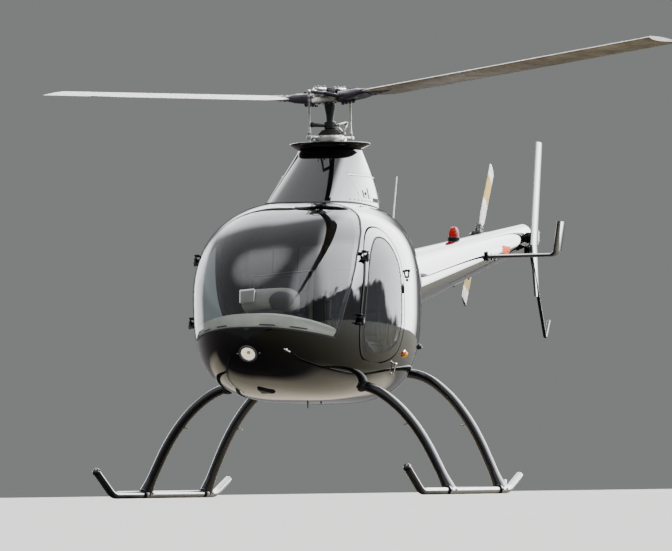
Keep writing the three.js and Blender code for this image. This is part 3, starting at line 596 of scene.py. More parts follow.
class Nodes:
    """A material's or a world's node tree, with short calls for the nodes that these use."""

    def __init__(self, name, owners=bpy.data.materials, coordinates="Object"):
        self.owner = owners.new(name)
        self.owner.use_nodes = True
        self.tree = self.owner.node_tree
        self.shader = self.tree.nodes.get("Principled BSDF")
        self.place = self.tree.nodes.new("ShaderNodeTexCoord").outputs[coordinates]

    def link(self, value, socket):
        if isinstance(value, bpy.types.NodeSocket):
            self.tree.links.new(value, socket)
        else:
            socket.default_value = value

    def add(self, kind, **settings):
        node = self.tree.nodes.new(kind)
        for key, value in settings.items():
            setattr(node, key, value)
        return node

    def noise(self, scale, detail=4.0, roughness=0.55, stretch=None):
        node = self.add("ShaderNodeTexNoise")
        place = self.place
        if stretch:
            mapping = self.add("ShaderNodeMapping")
            mapping.inputs["Scale"].default_value = stretch
            self.link(self.place, mapping.inputs["Vector"])
            place = mapping.outputs["Vector"]
        self.link(place, node.inputs["Vector"])
        node.inputs["Scale"].default_value = scale
        node.inputs["Detail"].default_value = detail
        node.inputs["Roughness"].default_value = roughness
        return node.outputs["Fac"]

    def steps(self, value, low, high, to_low=0.0, to_high=1.0, kind="LINEAR"):
        """value, taken from low..high to to_low..to_high."""
        node = self.add("ShaderNodeMapRange", interpolation_type=kind)
        for key, number in (("From Min", low), ("From Max", high), ("To Min", to_low), ("To Max", to_high)):
            node.inputs[key].default_value = number
        self.link(value, node.inputs["Value"])
        return node.outputs["Result"]

    def blend(self, share, first, second):
        node = self.add("ShaderNodeMix", data_type="RGBA")
        self.link(share, node.inputs["Factor"])
        self.link((*first, 1.0) if isinstance(first, tuple) else first, node.inputs["A"])
        self.link((*second, 1.0) if isinstance(second, tuple) else second, node.inputs["B"])
        return node.outputs["Result"]

    def math(self, operation, first, second=0.0):
        node = self.add("ShaderNodeMath", operation=operation)
        self.link(first, node.inputs[0])
        self.link(second, node.inputs[1])
        return node.outputs["Value"]

    def axis(self, name):
        node = self.add("ShaderNodeSeparateXYZ")
        self.link(self.place, node.inputs["Vector"])
        return node.outputs[name]

    def bump(self, height, strength, distance=0.001):
        node = self.add("ShaderNodeBump")
        node.inputs["Strength"].default_value = strength
        node.inputs["Distance"].default_value = distance
        self.link(height, node.inputs["Height"])
        self.link(node.outputs["Normal"], self.shader.inputs["Normal"])

    def mixed(self, share, first, second):
        """One shader, or the other where share is 1."""
        node = self.add("ShaderNodeMixShader")
        for socket, value in zip(node.inputs, (share, first, second)):
            self.link(value, socket)
        return node.outputs["Shader"]

    def finish(self, **sockets):
        for key, value in sockets.items():
            socket = self.shader.inputs[key.replace("_", " ")]
            self.link((*value, 1.0) if isinstance(value, tuple) else value, socket)
        return self.owner


def coat(name, wear, fresh, worn, rough, grain, **sockets):
    """Paint or moulding in two colours that wear mixes, with a wandering roughness and a fine grain.

    wear is a noise's scale, detail and roughness, and from where to where it counts. rough is a noise's scale
    and detail, and the roughness from where to where, or one number. grain is a noise's scale and detail, and
    the bump's strength and depth.
    """
    n = Nodes(name)
    scale, detail, roughness, low, high = wear
    colour = n.blend(n.steps(n.noise(scale, detail, roughness), low, high), fresh, worn)
    if isinstance(rough, tuple):
        rough = n.steps(n.noise(*rough[:2]), 0.3, 0.7, *rough[2:])
    n.bump(n.noise(*grain[:2]), *grain[2:])
    return n.finish(Base_Color=colour, Roughness=rough, **sockets)


def paint(name, base, stained, rough=0.35):
    """Plain paint or moulding in one colour, a little stained."""
    wander = (60, 4, rough - 0.06, rough + 0.08)
    return coat(name, (26, 6, 0.65, 0.45, 0.8), base, stained, wander, (300, 2, 0.06, 0.0004))


def machined(name, pale, dark, rough=0.32):
    """Machined metal, darker in random patches."""
    n = Nodes(name)
    colour = n.blend(n.steps(n.noise(32, 7, 0.65), 0.5, 0.78), pale, dark)
    streaks = n.noise(90, 3, stretch=(1.0, 1.0, 12.0))
    roughness = n.steps(streaks, 0.3, 0.7, rough - 0.08, rough + 0.12)
    n.bump(streaks, 0.1, 0.0004)
    return n.finish(Base_Color=colour, Roughness=roughness, Metallic=1.0)


def trim(name, dark, pale, rough=0.6):
    """Moulded interior trim with a fine leather-like grain."""
    n = Nodes(name)
    colour = n.blend(n.steps(n.noise(11, 6), 0.3, 0.7), dark, pale)
    grain = n.add("ShaderNodeTexVoronoi")
    grain.inputs["Scale"].default_value = 520
    n.link(n.place, grain.inputs["Vector"])
    n.bump(grain.outputs["Distance"], 0.3, 0.0006)
    roughness = n.steps(n.noise(50, 3), 0.3, 0.7, rough - 0.08, rough + 0.08)
    return n.finish(Base_Color=colour, Roughness=roughness)


def cloth(name, dark, pale):
    """Woven seat cloth."""
    n = Nodes(name)
    waves = []
    for turn in (0.0, math.pi / 2):
        mapping = n.add("ShaderNodeMapping")
        mapping.inputs["Rotation"].default_value = (0.6, 0.5, turn)
        n.link(n.place, mapping.inputs["Vector"])
        wave = n.add("ShaderNodeTexWave")
        wave.inputs["Scale"].default_value = 210
        wave.inputs["Distortion"].default_value = 0.6
        n.link(mapping.outputs["Vector"], wave.inputs["Vector"])
        waves.append(wave.outputs["Fac"])
    weave = n.math("MULTIPLY", waves[0], waves[1])
    mottled = n.math("ADD", n.math("MULTIPLY", weave, 0.6), n.math("MULTIPLY", n.noise(35, 5), 0.5))
    n.bump(weave, 0.5, 0.0008)
    colour = n.blend(mottled, dark, pale)
    return n.finish(Base_Color=colour, Roughness=0.88, Sheen_Weight=0.25, Sheen_Roughness=0.5)


def clear(name, tint, rough):
    """Clear acrylic with faint polishing marks.

    Lamps shine through it, and a pane behind a pane has no mirror image.
    """
    n = Nodes(name)
    roughness = n.steps(n.noise(60, 6, 0.7), 0.4, 0.8, rough, rough + 0.02)
    n.bump(n.noise(3, 2), 0.03, 0.002)
    made = n.finish(Base_Color=tint, Roughness=roughness, IOR=1.49, Transmission_Weight=1.0)
    see_through = n.add("ShaderNodeBsdfTransparent")
    see_through.inputs["Color"].default_value = (*tint, 1.0)
    seen = n.add("ShaderNodeLightPath").outputs
    behind = n.math("GREATER_THAN", seen["Transmission Depth"], 1.5)
    share = n.math("MAXIMUM", seen["Is Shadow Ray"], behind)
    shown = n.mixed(share, n.shader.outputs["BSDF"], see_through.outputs["BSDF"])
    n.link(shown, n.tree.nodes["Material Output"].inputs["Surface"])
    return made


def lens(name, dark, pale):
    """A coloured lens with moulded ribs."""
    n = Nodes(name)
    wave = n.add("ShaderNodeTexWave", bands_direction="Z")
    wave.inputs["Scale"].default_value = 90
    n.link(n.place, wave.inputs["Vector"])
    colour = n.blend(n.noise(40, 3), dark, pale)
    n.bump(wave.outputs["Fac"], 0.25, 0.001)
    return n.finish(Base_Color=colour, Roughness=0.12, Transmission_Weight=0.35, IOR=1.5)


def reflector():
    """A lamp's bowl, with faint rings and a painted glow: it shines by itself though the bulb gives no light.
    """
    n = Nodes("reflector")
    wave = n.add("ShaderNodeTexWave", wave_type="RINGS", rings_direction="Y")
    wave.inputs["Scale"].default_value = 60
    n.link(n.place, wave.inputs["Vector"])
    colour = n.blend(wave.outputs["Fac"], (0.92, 0.90, 0.84), (0.80, 0.78, 0.70))
    # Painted glow: a faint emission makes the bowl look lit
    glow = {"Emission_Color": (1.0, 0.96, 0.85), "Emission_Strength": 0.28}
    return n.finish(Base_Color=colour, Roughness=0.3, **glow)


OLIVE_GROUND, DARK_GROUND, BEIGE_GROUND = (0.044, 0.040, 0.006), (0.018, 0.014, 0.011), (0.38, 0.34, 0.26)


def floor_paper():
    """Pale paper, which reflections see as beige ground underneath, olive to the left and dark elsewhere."""
    n = Nodes("floor_paper")
    seen = n.add("ShaderNodeLightPath").outputs["Is Glossy Ray"]
    pale = n.blend(n.noise(0.8, 4), (0.60, 0.59, 0.56), (0.64, 0.63, 0.60))
    reach = n.add("ShaderNodeVectorMath", operation="DISTANCE")
    n.link(n.place, reach.inputs[0])
    reach.inputs[1].default_value = (0, -1.2, 0)
    far = n.blend(n.steps(n.axis("X"), 0.3, 2.2), DARK_GROUND, OLIVE_GROUND)
    under = n.blend(n.steps(n.axis("X"), 0.6, 1.2), BEIGE_GROUND, OLIVE_GROUND)
    near = n.math("MULTIPLY", n.steps(reach.outputs["Value"], 2.7, 1.9), n.steps(n.axis("Y"), -2.10, -1.82))
    colour = n.blend(seen, pale, n.blend(near, far, under))
    return n.finish(Base_Color=colour, Roughness=0.75)


M = {
    # Mirror-gloss paint, with a little dust and the faint waves of glass fibre
    "gloss": coat(
        "gloss_black", (7, 6, 0.55, 0.5, 0.8), (0.0025, 0.0025, 0.003), (0.007, 0.0065, 0.006),
        (40, 3, 0.035, 0.07), (9, 2, 0.05, 0.002), IOR=1.52, Coat_Weight=1.0, Coat_Roughness=0.02,
    ),
    # Paint on metal tube, scuffed here and there
    "tube": coat(
        "tube_black", (30, 8, 0.7, 0.62, 0.72), (0.008, 0.008, 0.01), (0.035, 0.033, 0.03),
        (18, 5, 0.1, 0.25), (220, 2, 0.05, 0.0005), Coat_Weight=1.0, Coat_Roughness=0.05,
    ),
    # Fittings rubbed along their edges
    "satin": coat(
        "satin_black", (55, 8, 0.7, 0.6, 0.75), (0.013, 0.012, 0.014), (0.06, 0.055, 0.055),
        (25, 5, 0.3, 0.5), (400, 3, 0.15, 0.0004),
    ),
    "rubber": coat(
        "rubber", (60, 6, 0.55, 0.0, 1.0), (0.012, 0.012, 0.012), (0.03, 0.028, 0.026),
        0.75, (500, 3, 0.25, 0.0005),
    ),
    # Dark anodised grips with a purple cast
    "grip": coat(
        "grip_black", (45, 8, 0.7, 0.6, 0.78), (0.020, 0.016, 0.024), (0.075, 0.065, 0.075),
        (25, 5, 0.22, 0.4), (350, 3, 0.12, 0.0004),
    ),
    "steel": machined("steel", (0.5, 0.49, 0.46), (0.12, 0.11, 0.1)),
    "alloy": machined("alloy", (0.62, 0.62, 0.6), (0.3, 0.29, 0.27), 0.4),
    "chrome": machined("chrome", (0.75, 0.75, 0.75), (0.5, 0.5, 0.5), 0.12),
    "cast": coat(
        "cast_metal", (22, 8, 0.65, 0.0, 1.0), (0.2, 0.195, 0.19), (0.42, 0.41, 0.4),
        0.5, (260, 4, 0.35, 0.001), Metallic=0.7,
    ),
    # Satin blade paint, stained, and painted shade: a blade's underside, darker and brown as if it lay in
    # shade and mirrored the ground
    "white": coat(
        "blade_white", (14, 7, 0.6, 0.45, 0.75), (0.62, 0.61, 0.59), (0.44, 0.42, 0.38),
        (30, 4, 0.28, 0.42), (180, 2, 0.04, 0.0005),
    ),
    "underside_shade": coat(
        "blade_brown", (9, 6, 0.6, 0.35, 0.7), (0.11, 0.085, 0.055), (0.2, 0.17, 0.12),
        (30, 4, 0.3, 0.45), (160, 3, 0.08, 0.0005),
    ),
    "grey_trim": trim("grey_trim", (0.27, 0.255, 0.22), (0.35, 0.33, 0.29)),
    "hood": trim("hood_trim", (0.13, 0.125, 0.11), (0.19, 0.18, 0.16)),
    "webbing": cloth("webbing", (0.05, 0.05, 0.055), (0.13, 0.13, 0.14)),
    "carpet": cloth("carpet", (0.02, 0.02, 0.022), (0.07, 0.068, 0.066)),
    "dark_trim": trim("dark_trim", (0.016, 0.016, 0.018), (0.035, 0.034, 0.034), 0.7),
    "seat": cloth("seat_cloth", (0.045, 0.045, 0.05), (0.15, 0.15, 0.16)),
    "acrylic": clear("acrylic", (0.86, 0.89, 0.9), 0.0),
    "lamp_glass": clear("lamp_glass", (0.95, 0.95, 0.94), 0.01),
    "red": lens("red_lens", (0.35, 0.012, 0.008), (0.6, 0.03, 0.015)),
    "reflector": reflector(),
    "white_trim": paint("white_trim", (0.72, 0.71, 0.68), (0.52, 0.50, 0.46)),
    "orange": paint("orange_paint", (0.80, 0.12, 0.025), (0.60, 0.09, 0.02), 0.6),
    "yellow": paint("yellow_paint", (0.50, 0.34, 0.05), (0.36, 0.25, 0.05), 0.5),
    "cream": paint("cream_paint", (0.52, 0.49, 0.41), (0.38, 0.35, 0.29), 0.4),
    "dial": paint("dial_face", (0.012, 0.012, 0.013), (0.02, 0.02, 0.021), 0.5),
    "amber": lens("amber_lens", (0.75, 0.2, 0.015), (0.95, 0.36, 0.04)),
}


def dressed(made, material, body="airframe", replaces=()):
    """Gives a new piece its material, its body and the nodes that it stands for."""
    made.data.materials.clear()
    made.data.materials.append(M[material])
    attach(made, body)
    if replaces:
        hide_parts(*replaces)
    return made


def piece(name, parts, material, body="airframe", replaces=(), smooth=30.0, place=None):
    made = solid(name, joined(*parts), smooth)
    if place:
        made.data.transform(place)
    return dressed(made, material, body, replaces)


# Pod skins


# A cross tube's places as (x, share of its height)
BOW = [
    (0.852, 0.25),
    (0.779, 0.47),
    (0.706, 0.64),
    (0.609, 0.806),
    (0.480, 0.947),
    (0.360, 0.998),
    (0.160, 1),
]


def cross_tube_path(y, top, samples=96):
    side = [(SKID_X, SKID_RADIUS + 0.006), *((x, top * share) for x, share in BOW)]
    points = [at(x, y, z) for x, z in side] + [at(-x, y, z) for x, z in reversed(side)]
    return catmull(points, samples)


def cross_tube_hole(name):
    return cutter(tube(cross_tube_path(*CROSS_TUBES[name]), TUBE_RADIUS + 0.001))


def slab(from_y, to_y):
    """All the room between two places along the aircraft."""
    return cutter(block((4, to_y - from_y, 4), at(0, (from_y + to_y) / 2, 1), edge=0))


def pod_shell(name, thickness):
    return combine(pod(name, 0.0), pod("inside", thickness), "DIFFERENCE")


def make_pod():
    door, window = (catmull(outline, 96, closed=True) for outline in (DOOR, DOOR_WINDOW))
    shell = pod_shell("shell", WALL)
    glass = pod_shell("glass", GLASS)

    leaf = combine(copy_of(shell, "door_left_skin"), side_prism(door, LEFT), "INTERSECT")
    leaf = combine(leaf, side_prism(window, LEFT), "DIFFERENCE")
    pane = copy_of(glass, "door_window_left_pane")
    pane = combine(pane, side_prism(grown(window, -GAP), LEFT), "INTERSECT")
    for made, material, slot, node in (
        (leaf, "gloss", "gloss_body", "door"),
        (pane, "acrylic", "acrylic", "door_window"),
    ):
        other = mirrored(made, made.name.replace("left", "right"))
        for one, side in ((made, "left"), (other, "right")):
            dressed(shade_from(one, pod_level), material, f"{side}_door", [f"{node}_{side}"])
            if material == "gloss":
                lined(one)

    cabin = combine(copy_of(shell, "cabin_skin"), slab(-3, SPLIT_Y - GAP), "INTERSECT")
    cabin = combine(cabin, side_prism(WINDSHIELD, ACROSS), "DIFFERENCE")
    for reach in (LEFT, RIGHT):
        cabin = combine(cabin, side_prism(grown(door, DOOR_GAP), reach), "DIFFERENCE")
    cabin = combine(cabin, cross_tube_hole("front"), "DIFFERENCE")
    lamp_hole = turned(at(0, -1.9, LIGHT_Z), at(0, -1.5, LIGHT_Z), [(0, 0.0464), (1, 0.0464)], 48)
    cabin = combine(cabin, cutter(lamp_hole), "DIFFERENCE")
    lined(dressed(shade_from(cabin, pod_level), "gloss", replaces=["cabin_shell"]))

    screen = combine(glass, side_prism(WINDSHIELD, ACROSS), "INTERSECT")
    screen.name = "windshield_pane"
    dressed(shade_from(screen, pod_level), "acrylic", replaces=["windshield"])

    cowl = combine(shell, slab(SPLIT_Y, 3), "INTERSECT")
    cowl.name = "rear_cowl_skin"
    cowl = combine(cowl, cross_tube_hole("rear"), "DIFFERENCE")
    dressed(shade_from(cowl, pod_level), "gloss", replaces=["rear_cowl"])


def edge_band(name, outline, inwards, outwards, reach, body, lift=0.0012, until=3):
    """A thin seal that runs along an outline on the pod's skin, as far back as until."""
    band = combine(pod(name, -lift), pod("cut", 0.0), "DIFFERENCE")
    band = combine(band, side_prism(grown(outline, outwards), reach), "INTERSECT")
    band = combine(band, side_prism(grown(outline, -inwards), reach), "DIFFERENCE")
    band = combine(band, slab(-3, until), "INTERSECT")
    return dressed(shade_from(band, pod_level), "rubber", body)


def make_seals():
    door, window = (catmull(outline, 96, closed=True) for outline in (DOOR, DOOR_WINDOW))
    seals = [edge_band("window_seal_left", window, 0.004, 0.005, LEFT, "left_door")]
    seals.append(edge_band("door_seal_left", door, 0.015, -0.0006, LEFT, "left_door", until=-1.012))
    for seal in seals:
        other = mirrored(seal, seal.name.replace("left", "right"))
        dressed(shade_from(other, pod_level), "rubber", "right_door")
    edge_band("windshield_seal", WINDSHIELD, 0.006, 0.004, ACROSS, "airframe")
    seam = combine(pod("cowl_seam", -0.0008), pod("cut", 0.0), "DIFFERENCE")
    seam = combine(seam, slab(SPLIT_Y - 0.0022, SPLIT_Y + 0.0022), "INTERSECT")
    dressed(shade_from(seam, pod_level), "rubber")


HINGE_X, HINGE_LOW, HINGE_HIGH = 0.517, (-1.125, 0.995), (-1.013, 1.360)
HINGE_LEAN = math.degrees(math.atan2(HINGE_HIGH[0] - HINGE_LOW[0], HINGE_HIGH[1] - HINGE_LOW[1]))


def knuckle(share, length):
    low, high = at(HINGE_X, *HINGE_LOW), at(HINGE_X, *HINGE_HIGH)
    along = (high - low).normalized()
    return [low.lerp(high, share) + along * length * half for half in (-0.5, 0.5)]


def make_door_fittings():
    fixed, swinging = [], []
    lean = (-HINGE_LEAN, 0, 0)
    for share in (0, 1):
        ends = knuckle(share, 0.052)
        fixed.append(rod(*ends, 0.0045))
        for end, out in zip(ends, (-1, 1)):
            centre = end + Vector((-0.016, -0.018, 0.005))
            fixed.append(block((0.030, 0.036, 0.007), centre, lean, 0.003))
            along = (ends[1] - ends[0]).normalized() * out
            fixed.append(bolt(end + along * 0.001 + Vector((0, 0, 0.002)), along, 0.011, 0.006))
        swinging.append(rod(*knuckle(share, 0.036), 0.009))
        centre = knuckle(share, 0)[0] + Vector((-0.012, 0.022, -0.006))
        swinging.append(block((0.026, 0.032, 0.030), centre, lean, 0.004))
    handle = [block((0.018, 0.012, 0.044), at(0.580, -0.512, 1.187), (0, 0, 8), 0.004)]
    handle.append(rivet(*pod_side(-0.512, 1.215), 0.008, 0.5))
    catch = [bolt(*pod_side(-0.417, z), 0.014, 0.007) for z in (1.245, 1.300)]
    point, out = pod_side(-0.417, 1.262)
    knob = point + out * 0.012 + Vector((0, 0, 0.036))
    catch += [rod(point, point + out * 0.012, 0.006), rod(point + out * 0.010, knob, 0.0045)]
    catch.append(ball(knob, 0.009))
    for side, turn in SIDES:
        for name, parts, body in (
            ("hinge_brackets", fixed, "airframe"),
            ("hinge_sleeves", swinging, f"{side}_door"),
            ("door_handle", handle, f"{side}_door"),
            ("door_catch", catch, "airframe"),
        ):
            piece(f"{name}_{side}", [turn(part) for part in parts], "satin", body)


def make_landing_light():
    lamp, out = pod_front(0.0, LIGHT_Z)
    bezel_rows = [(0, 0.0455), (0.8, 0.0455), (0.92, 0.054), (1, 0.051)]
    bezel = turned(lamp - out * 0.020, lamp + out * 0.0035, bezel_rows, 64)
    hole = turned(lamp - out * 0.016, lamp + out * 0.02, [(0, 0.041), (1, 0.041)], 64)
    rim = combine(solid("landing_light_rim", bezel), solid("cut", hole), "DIFFERENCE")
    dressed(rim, "chrome", replaces=["landing_light"])
    back = lamp - out * 0.016
    bowl_rows = [(0.0, 0.010), (0.15, 0.020), (0.45, 0.032), (1.0, 0.0408)]
    bowl_rows += [(0.98, 0.0395), (0.45, 0.029), (0.2, 0.012)]
    bulb_rows = [(0, 0.010), (0.6, 0.010), (0.9, 0.006), (1, 0.002)]
    lens_rows = [(0, 0.0408), (0.4, 0.0395), (0.75, 0.030), (1, 0.004)]
    bowl = turned(back, lamp - out * 0.0005, bowl_rows, 48)
    piece("landing_light_bowl", [bowl], "reflector", smooth=60)
    bulb = turned(back, lamp - out * 0.006, bulb_rows, 20)
    piece("landing_light_bulb", [bulb], "yellow")
    front = turned(lamp, lamp + out * 0.004, lens_rows, 48)
    piece("landing_light_lens", [front], "lamp_glass")


def make_nose_fittings():
    studs = [rivet(*pod_front(x, LIGHT_Z), 0.005, 0.5) for x in (-0.064, 0.064)]
    point, out = pod_front(0.199, 0.826)
    studs.append(rod(point - out * 0.004, point + out * 0.012, 0.008))
    low, high = Vector((0.014, 0, -0.006)), Vector((0.022, 0, -0.012))
    studs.append(rod(point + out * 0.010 - low, point + out * 0.012 + high, 0.0055))
    piece("nose_studs", studs, "chrome")

    belly = []
    for x, y, reach in ((0.034, -0.638, 0.032), (0.115, -0.640, 0.012), (0.0, 0.15, 0.012)):
        point, out = pod_under(x, y)
        belly += [rod(point, point + out * reach, 0.003), rivet(point, out, 0.008)]
    corners = [(-0.054, -1.238), (-0.054, -1.338), (0.030, -1.240)]
    rings = []
    for lift, shrink in ((-0.002, 1.0), (0.012, 0.82)):
        ring = []
        for x, y in corners:
            point, out = pod_under(mix(-0.03, x, shrink), mix(-1.280, y, shrink))
            ring.append(point + out * lift)
        rings.append(ring)
    piece("belly_pins", [*belly, loft(rings)], "satin")


def make_side_fittings():
    point, out = pod_side(-0.412, 0.817)
    base = turned(point - out * 0.012, point + out * 0.004, [(0, 0.023), (0.8, 0.025), (1, 0.021)], 32)
    dome = [(0, 0.019), (0.5, 0.019), (0.8, 0.014), (0.95, 0.007), (1, 0.002)]
    glow = turned(point, point + out * 0.022, dome, 32)
    foot, up = pod_side(-0.558, 0.759)[0], pod_side(-0.488, 0.700)[0]
    away = Vector((0.014, 0, -0.004))
    stay = [rod(foot + away, up + away, 0.0045), rod(foot, foot + away, 0.005), rod(up, up + away, 0.005)]
    stay.append(ball(foot + away, 0.009))
    for side, turn in SIDES:
        lamp = [f"side_lamp_{side}"]
        piece(f"side_lamp_base_{side}", [turn(base)], "chrome")
        piece(f"side_lamp_lens_{side}", [turn(glow)], "amber", replaces=lamp)
        piece(f"side_stay_{side}", [turn(part) for part in stay], "chrome")
    point, out = pod_side(0.02, 0.870)
    knob_rows = [(0, 0.018), (0.4, 0.018), (0.6, 0.014), (1, 0.012)]
    knob = turned(point - out * 0.004, point + out * 0.020, knob_rows, 24)
    piece("fuel_cap", [both(knob)], "satin")
    stud = both(rivet(point + out * 0.0202, out, 0.006, 0.5))
    piece("fuel_cap_stud", [stud], "white_trim")

    louvres = []
    for row in range(6):
        z = 1.02 + 0.045 * row
        heights = np.linspace(z, z + 0.018, 3)
        louvres.append(both(skin_patch(pod_side, np.linspace(0.30, 0.52, 8), heights, lift=0.006)))
    piece("cowl_louvres", louvres, "gloss")


# Mast fairing


FAIRING_FOOT_Z, FAIRING_TOP_Z, CAP_Z = 1.690, 2.034, 2.078


def fairing_sizes(z):
    """Half width, middle and half length of the fairing at z, and the power of its section."""
    up = np.clip((z - FAIRING_FOOT_Z) / (FAIRING_TOP_Z - FAIRING_FOOT_Z), 0, 1)
    front, rear = mix(-0.730, -0.200, up), mix(0.400, 0.192, up**1.8)
    return mix(0.285, 0.190, up**1.5), (front + rear) / 2, (rear - front) / 2, mix(2.7, 2, up)


def fairing_level(p):
    half_width, middle, half, power = fairing_sizes(p[:, 2])
    across, along = np.abs(p[:, 0] / half_width), np.abs((p[:, 1] - MAST_Y - middle) / half)
    return (across**power + along**power) ** (1 / power)


def fairing_solid(name, inset, bottom, top, sides=96, rows=30):
    rings = []
    for i in range(rows + 1):
        z = mix(bottom, top, i / rows)
        half_width, middle, half, power = fairing_sizes(z)
        ring = rounded(sides, 2 / power)
        rings.append([at((half_width - inset) * x, middle + (half - inset) * y, z) for x, y in ring])
    return solid(name, loft(rings), smooth=None)


def make_fairing():
    tower = fairing_solid("fairing_skin", 0.0, 1.5, FAIRING_TOP_Z)
    tower = combine(tower, fairing_solid("cut", 0.014, 1.48, FAIRING_TOP_Z - 0.014), "DIFFERENCE")
    neck = turned(at(0, 0, 1.9), at(0, 0, 2.2), [(0, 0.11), (1, 0.11)], 48)
    tower = combine(tower, cutter(neck), "DIFFERENCE")
    tower = combine(tower, pod("cut", -GAP), "DIFFERENCE")
    dressed(shade_from(tower, fairing_level), "gloss", replaces=["mast_fairing"])

    base = FAIRING_TOP_Z + GAP
    profile = [
        (0.074, base),
        (0.180, base),
        (0.200, base + 0.008),
        (0.228, base + 0.026),
        (0.237, CAP_Z - 0.012),
        (0.241, CAP_Z - 0.006),
        (0.241, CAP_Z - 0.002),
        (0.238, CAP_Z),
        (0.074, CAP_Z),
    ]
    cap = lathe(profile, at(0, 0, 0)[:2], 96, hollow=True)
    piece("fairing_cap_skin", [cap], "gloss", replaces=["fairing_cap"], smooth=35)


def fairing_side(y, z):
    """The point on the fairing's left side at y and z, and the direction out of it."""
    half_width, middle, half, power = (float(v) for v in fairing_sizes(np.array(z)))
    x = half_width * max(0.0, 1 - abs((y - middle) / half) ** power) ** (1 / power)
    return with_normal(fairing_level, at(x, y, z))


def make_fairing_fittings():
    # Columns: from y to y in so many steps, from z to z in so many steps, how proud
    sheets = {
        "edge": (-0.325, 0.10, 24, 1.870, 1.877, 2, 0.0022),
        "corner": (-0.330, -0.326, 2, 1.745, 1.874, 8, 0.001),
        "plate": (-0.250, -0.196, 5, 1.742, 1.786, 5, 0.0035),
        "strip": (-0.160, -0.130, 4, 1.738, 1.800, 5, 0.003),
        "slot": (-0.075, 0.045, 8, 1.722, 1.745, 4, 0.0015),
    }
    made = {}
    for name, (y0, y1, along, z0, z1, up, lift) in sheets.items():
        made[name] = both(skin_patch(fairing_side, np.linspace(y0, y1, along), np.linspace(z0, z1, up), lift))
    rivets = [rivet(*fairing_side(y, 1.722), 0.0058) for y in np.linspace(-0.46, 0.14, 12)]
    rivets += [rivet(*fairing_side(y, 1.890), 0.0035) for y in np.linspace(-0.30, 0.08, 9)]
    # The edge and corner strips are the panel's lip; their white is a painted highlight along it
    piece("fairing_edge_highlight", [made["edge"], made["corner"]], "white_trim")
    piece("fairing_rivets", [both(part) for part in rivets], "satin")
    piece("fairing_latch", [made["plate"], made["strip"]], "white_trim")
    point, out = fairing_side(-0.222, 1.764)
    catch = both(bolt(point + out * 0.0035, out, 0.016, 0.006))
    piece("fairing_catch", [catch], "satin")
    piece("fairing_slot", [made["slot"]], "rubber")
    foot = combine(pod("fairing_foot", -0.0055), pod("cut", -GAP), "DIFFERENCE")
    foot = combine(foot, fairing_solid("cut", -0.006, 1.40, 1.90), "INTERSECT")
    foot = combine(foot, fairing_solid("cut", 0.0, 1.38, 1.92), "DIFFERENCE")
    dressed(shade_from(foot, pod_level), "rubber")


# Landing gear


def bent_path(points, bend, steps=10):
    """A line through points, with a round bend at each inner one."""
    points = [Vector(p) for p in points]
    path = [points[0]]
    for before, corner, after in zip(points, points[1:], points[2:]):
        into = corner + (before - corner).normalized() * bend
        out = corner + (after - corner).normalized() * bend
        for i in range(steps + 1):
            t = i / steps
            path.append((1 - t) ** 2 * into + 2 * t * (1 - t) * corner + t**2 * out)
    path.append(points[-1])
    return path


def leg_at(y, top, z):
    """The middle of the left leg at some height."""
    above = next(i for i, (_, share) in enumerate(BOW) if share * top > z)
    (low_x, low), (high_x, high) = BOW[above - 1], BOW[above]
    return at(mix(low_x, high_x, (z / top - low) / (high - low)), y, z)


def make_skids():
    dome = [(0, 1.0), (0.3, 0.95), (0.6, 0.8), (0.85, 0.5), (1, 0.12)]
    for side, x in (("left", SKID_X), ("right", -SKID_X)):
        ends = [(-1.650, 0.155), (-1.370, SKID_RADIUS), (0.520, SKID_RADIUS), (0.800, 0.108)]
        ends = [at(x, y, z) for y, z in ends]
        parts = [tube(bent_path(ends, 0.06), SKID_RADIUS, 32)]
        parts.append(block((0.010, 0.060, 0.048), at(x, 0.455, 0.059), edge=0.003))
        parts.append(rod(at(x - 0.006, 0.455, 0.066), at(x + 0.006, 0.455, 0.066), 0.007))
        piece(f"skid_tube_{side}", parts, "tube", replaces=[f"skid_{side}"])
        caps = []
        for end, before in ((ends[0], ends[1]), (ends[3], ends[2])):
            out = (end - before).normalized()
            rows = [(t, r * 0.0235) for t, r in dome]
            caps.append(turned(end - out * 0.004, end + out * 0.014, rows, 32))
        piece(f"skid_caps_{side}", caps, "gloss")


def make_cross_tubes():
    foot_rows = [(0, 0.038), (0.25, 0.0365), (0.7, 0.031), (1, 0.0293)]
    boot_rows = [(0, 0.0298), (0.3, 0.0325), (0.8, 0.0345), (1, 0.032)]
    saddle_rows = [(0, 0.036), (0.5, 0.038), (1, 0.036)]
    inwards, proud, thick = (Vector((x, 0, 0)) for x in (-0.062, 0.026, 0.033))
    for name, (y, top) in CROSS_TUBES.items():
        path = cross_tube_path(y, top)
        ends = [at(SKID_X, y + half, SKID_RADIUS) for half in (-0.065, 0.065)]
        points, faces = rod(*ends, 0.031, sides=40)
        clamp = ([(px, py, max(pz, 0.001)) for px, py, pz in points], faces)
        low, high = at(SKID_X, y, 0.030), leg_at(y, top, 0.25 * top + 0.012)
        foot = turned(low, low.lerp(high, 0.62), foot_rows, 32)
        arch = [tube(path, TUBE_RADIUS, 32), both(clamp), both(foot)]
        leg = leg_at(y, top, 0.405)
        pins = [rod(leg, leg + inwards, 0.005), rod(leg + proud, leg + thick, 0.008)]
        for dy in (-0.048, 0.048):
            for out in (1, -1):
                pins.append(bolt(at(SKID_X + out * 0.0305, y + dy, 0.027), (out, 0, 0.1), 0.012, 0.007))
        inside = next(i for i, level in enumerate(pod_level(np.array(path))) if level < 1)
        here, along = Vector(path[inside]), Vector(path[inside + 1] - path[inside - 1]).normalized()
        boot = turned(here - along * 0.022, here + along * 0.016, boot_rows, 36)
        saddle = turned(here - along * 0.004, here + along * 0.016, saddle_rows, 36)
        piece(f"arch_{name}", arch, "tube", replaces=[f"cross_tube_{name}"])
        piece(f"arch_pins_{name}", [both(pin) for pin in pins], "alloy")
        piece(f"arch_boot_{name}", [both(boot)], "rubber")
        piece(f"arch_saddle_{name}", [both(saddle)], "satin")


# Tail


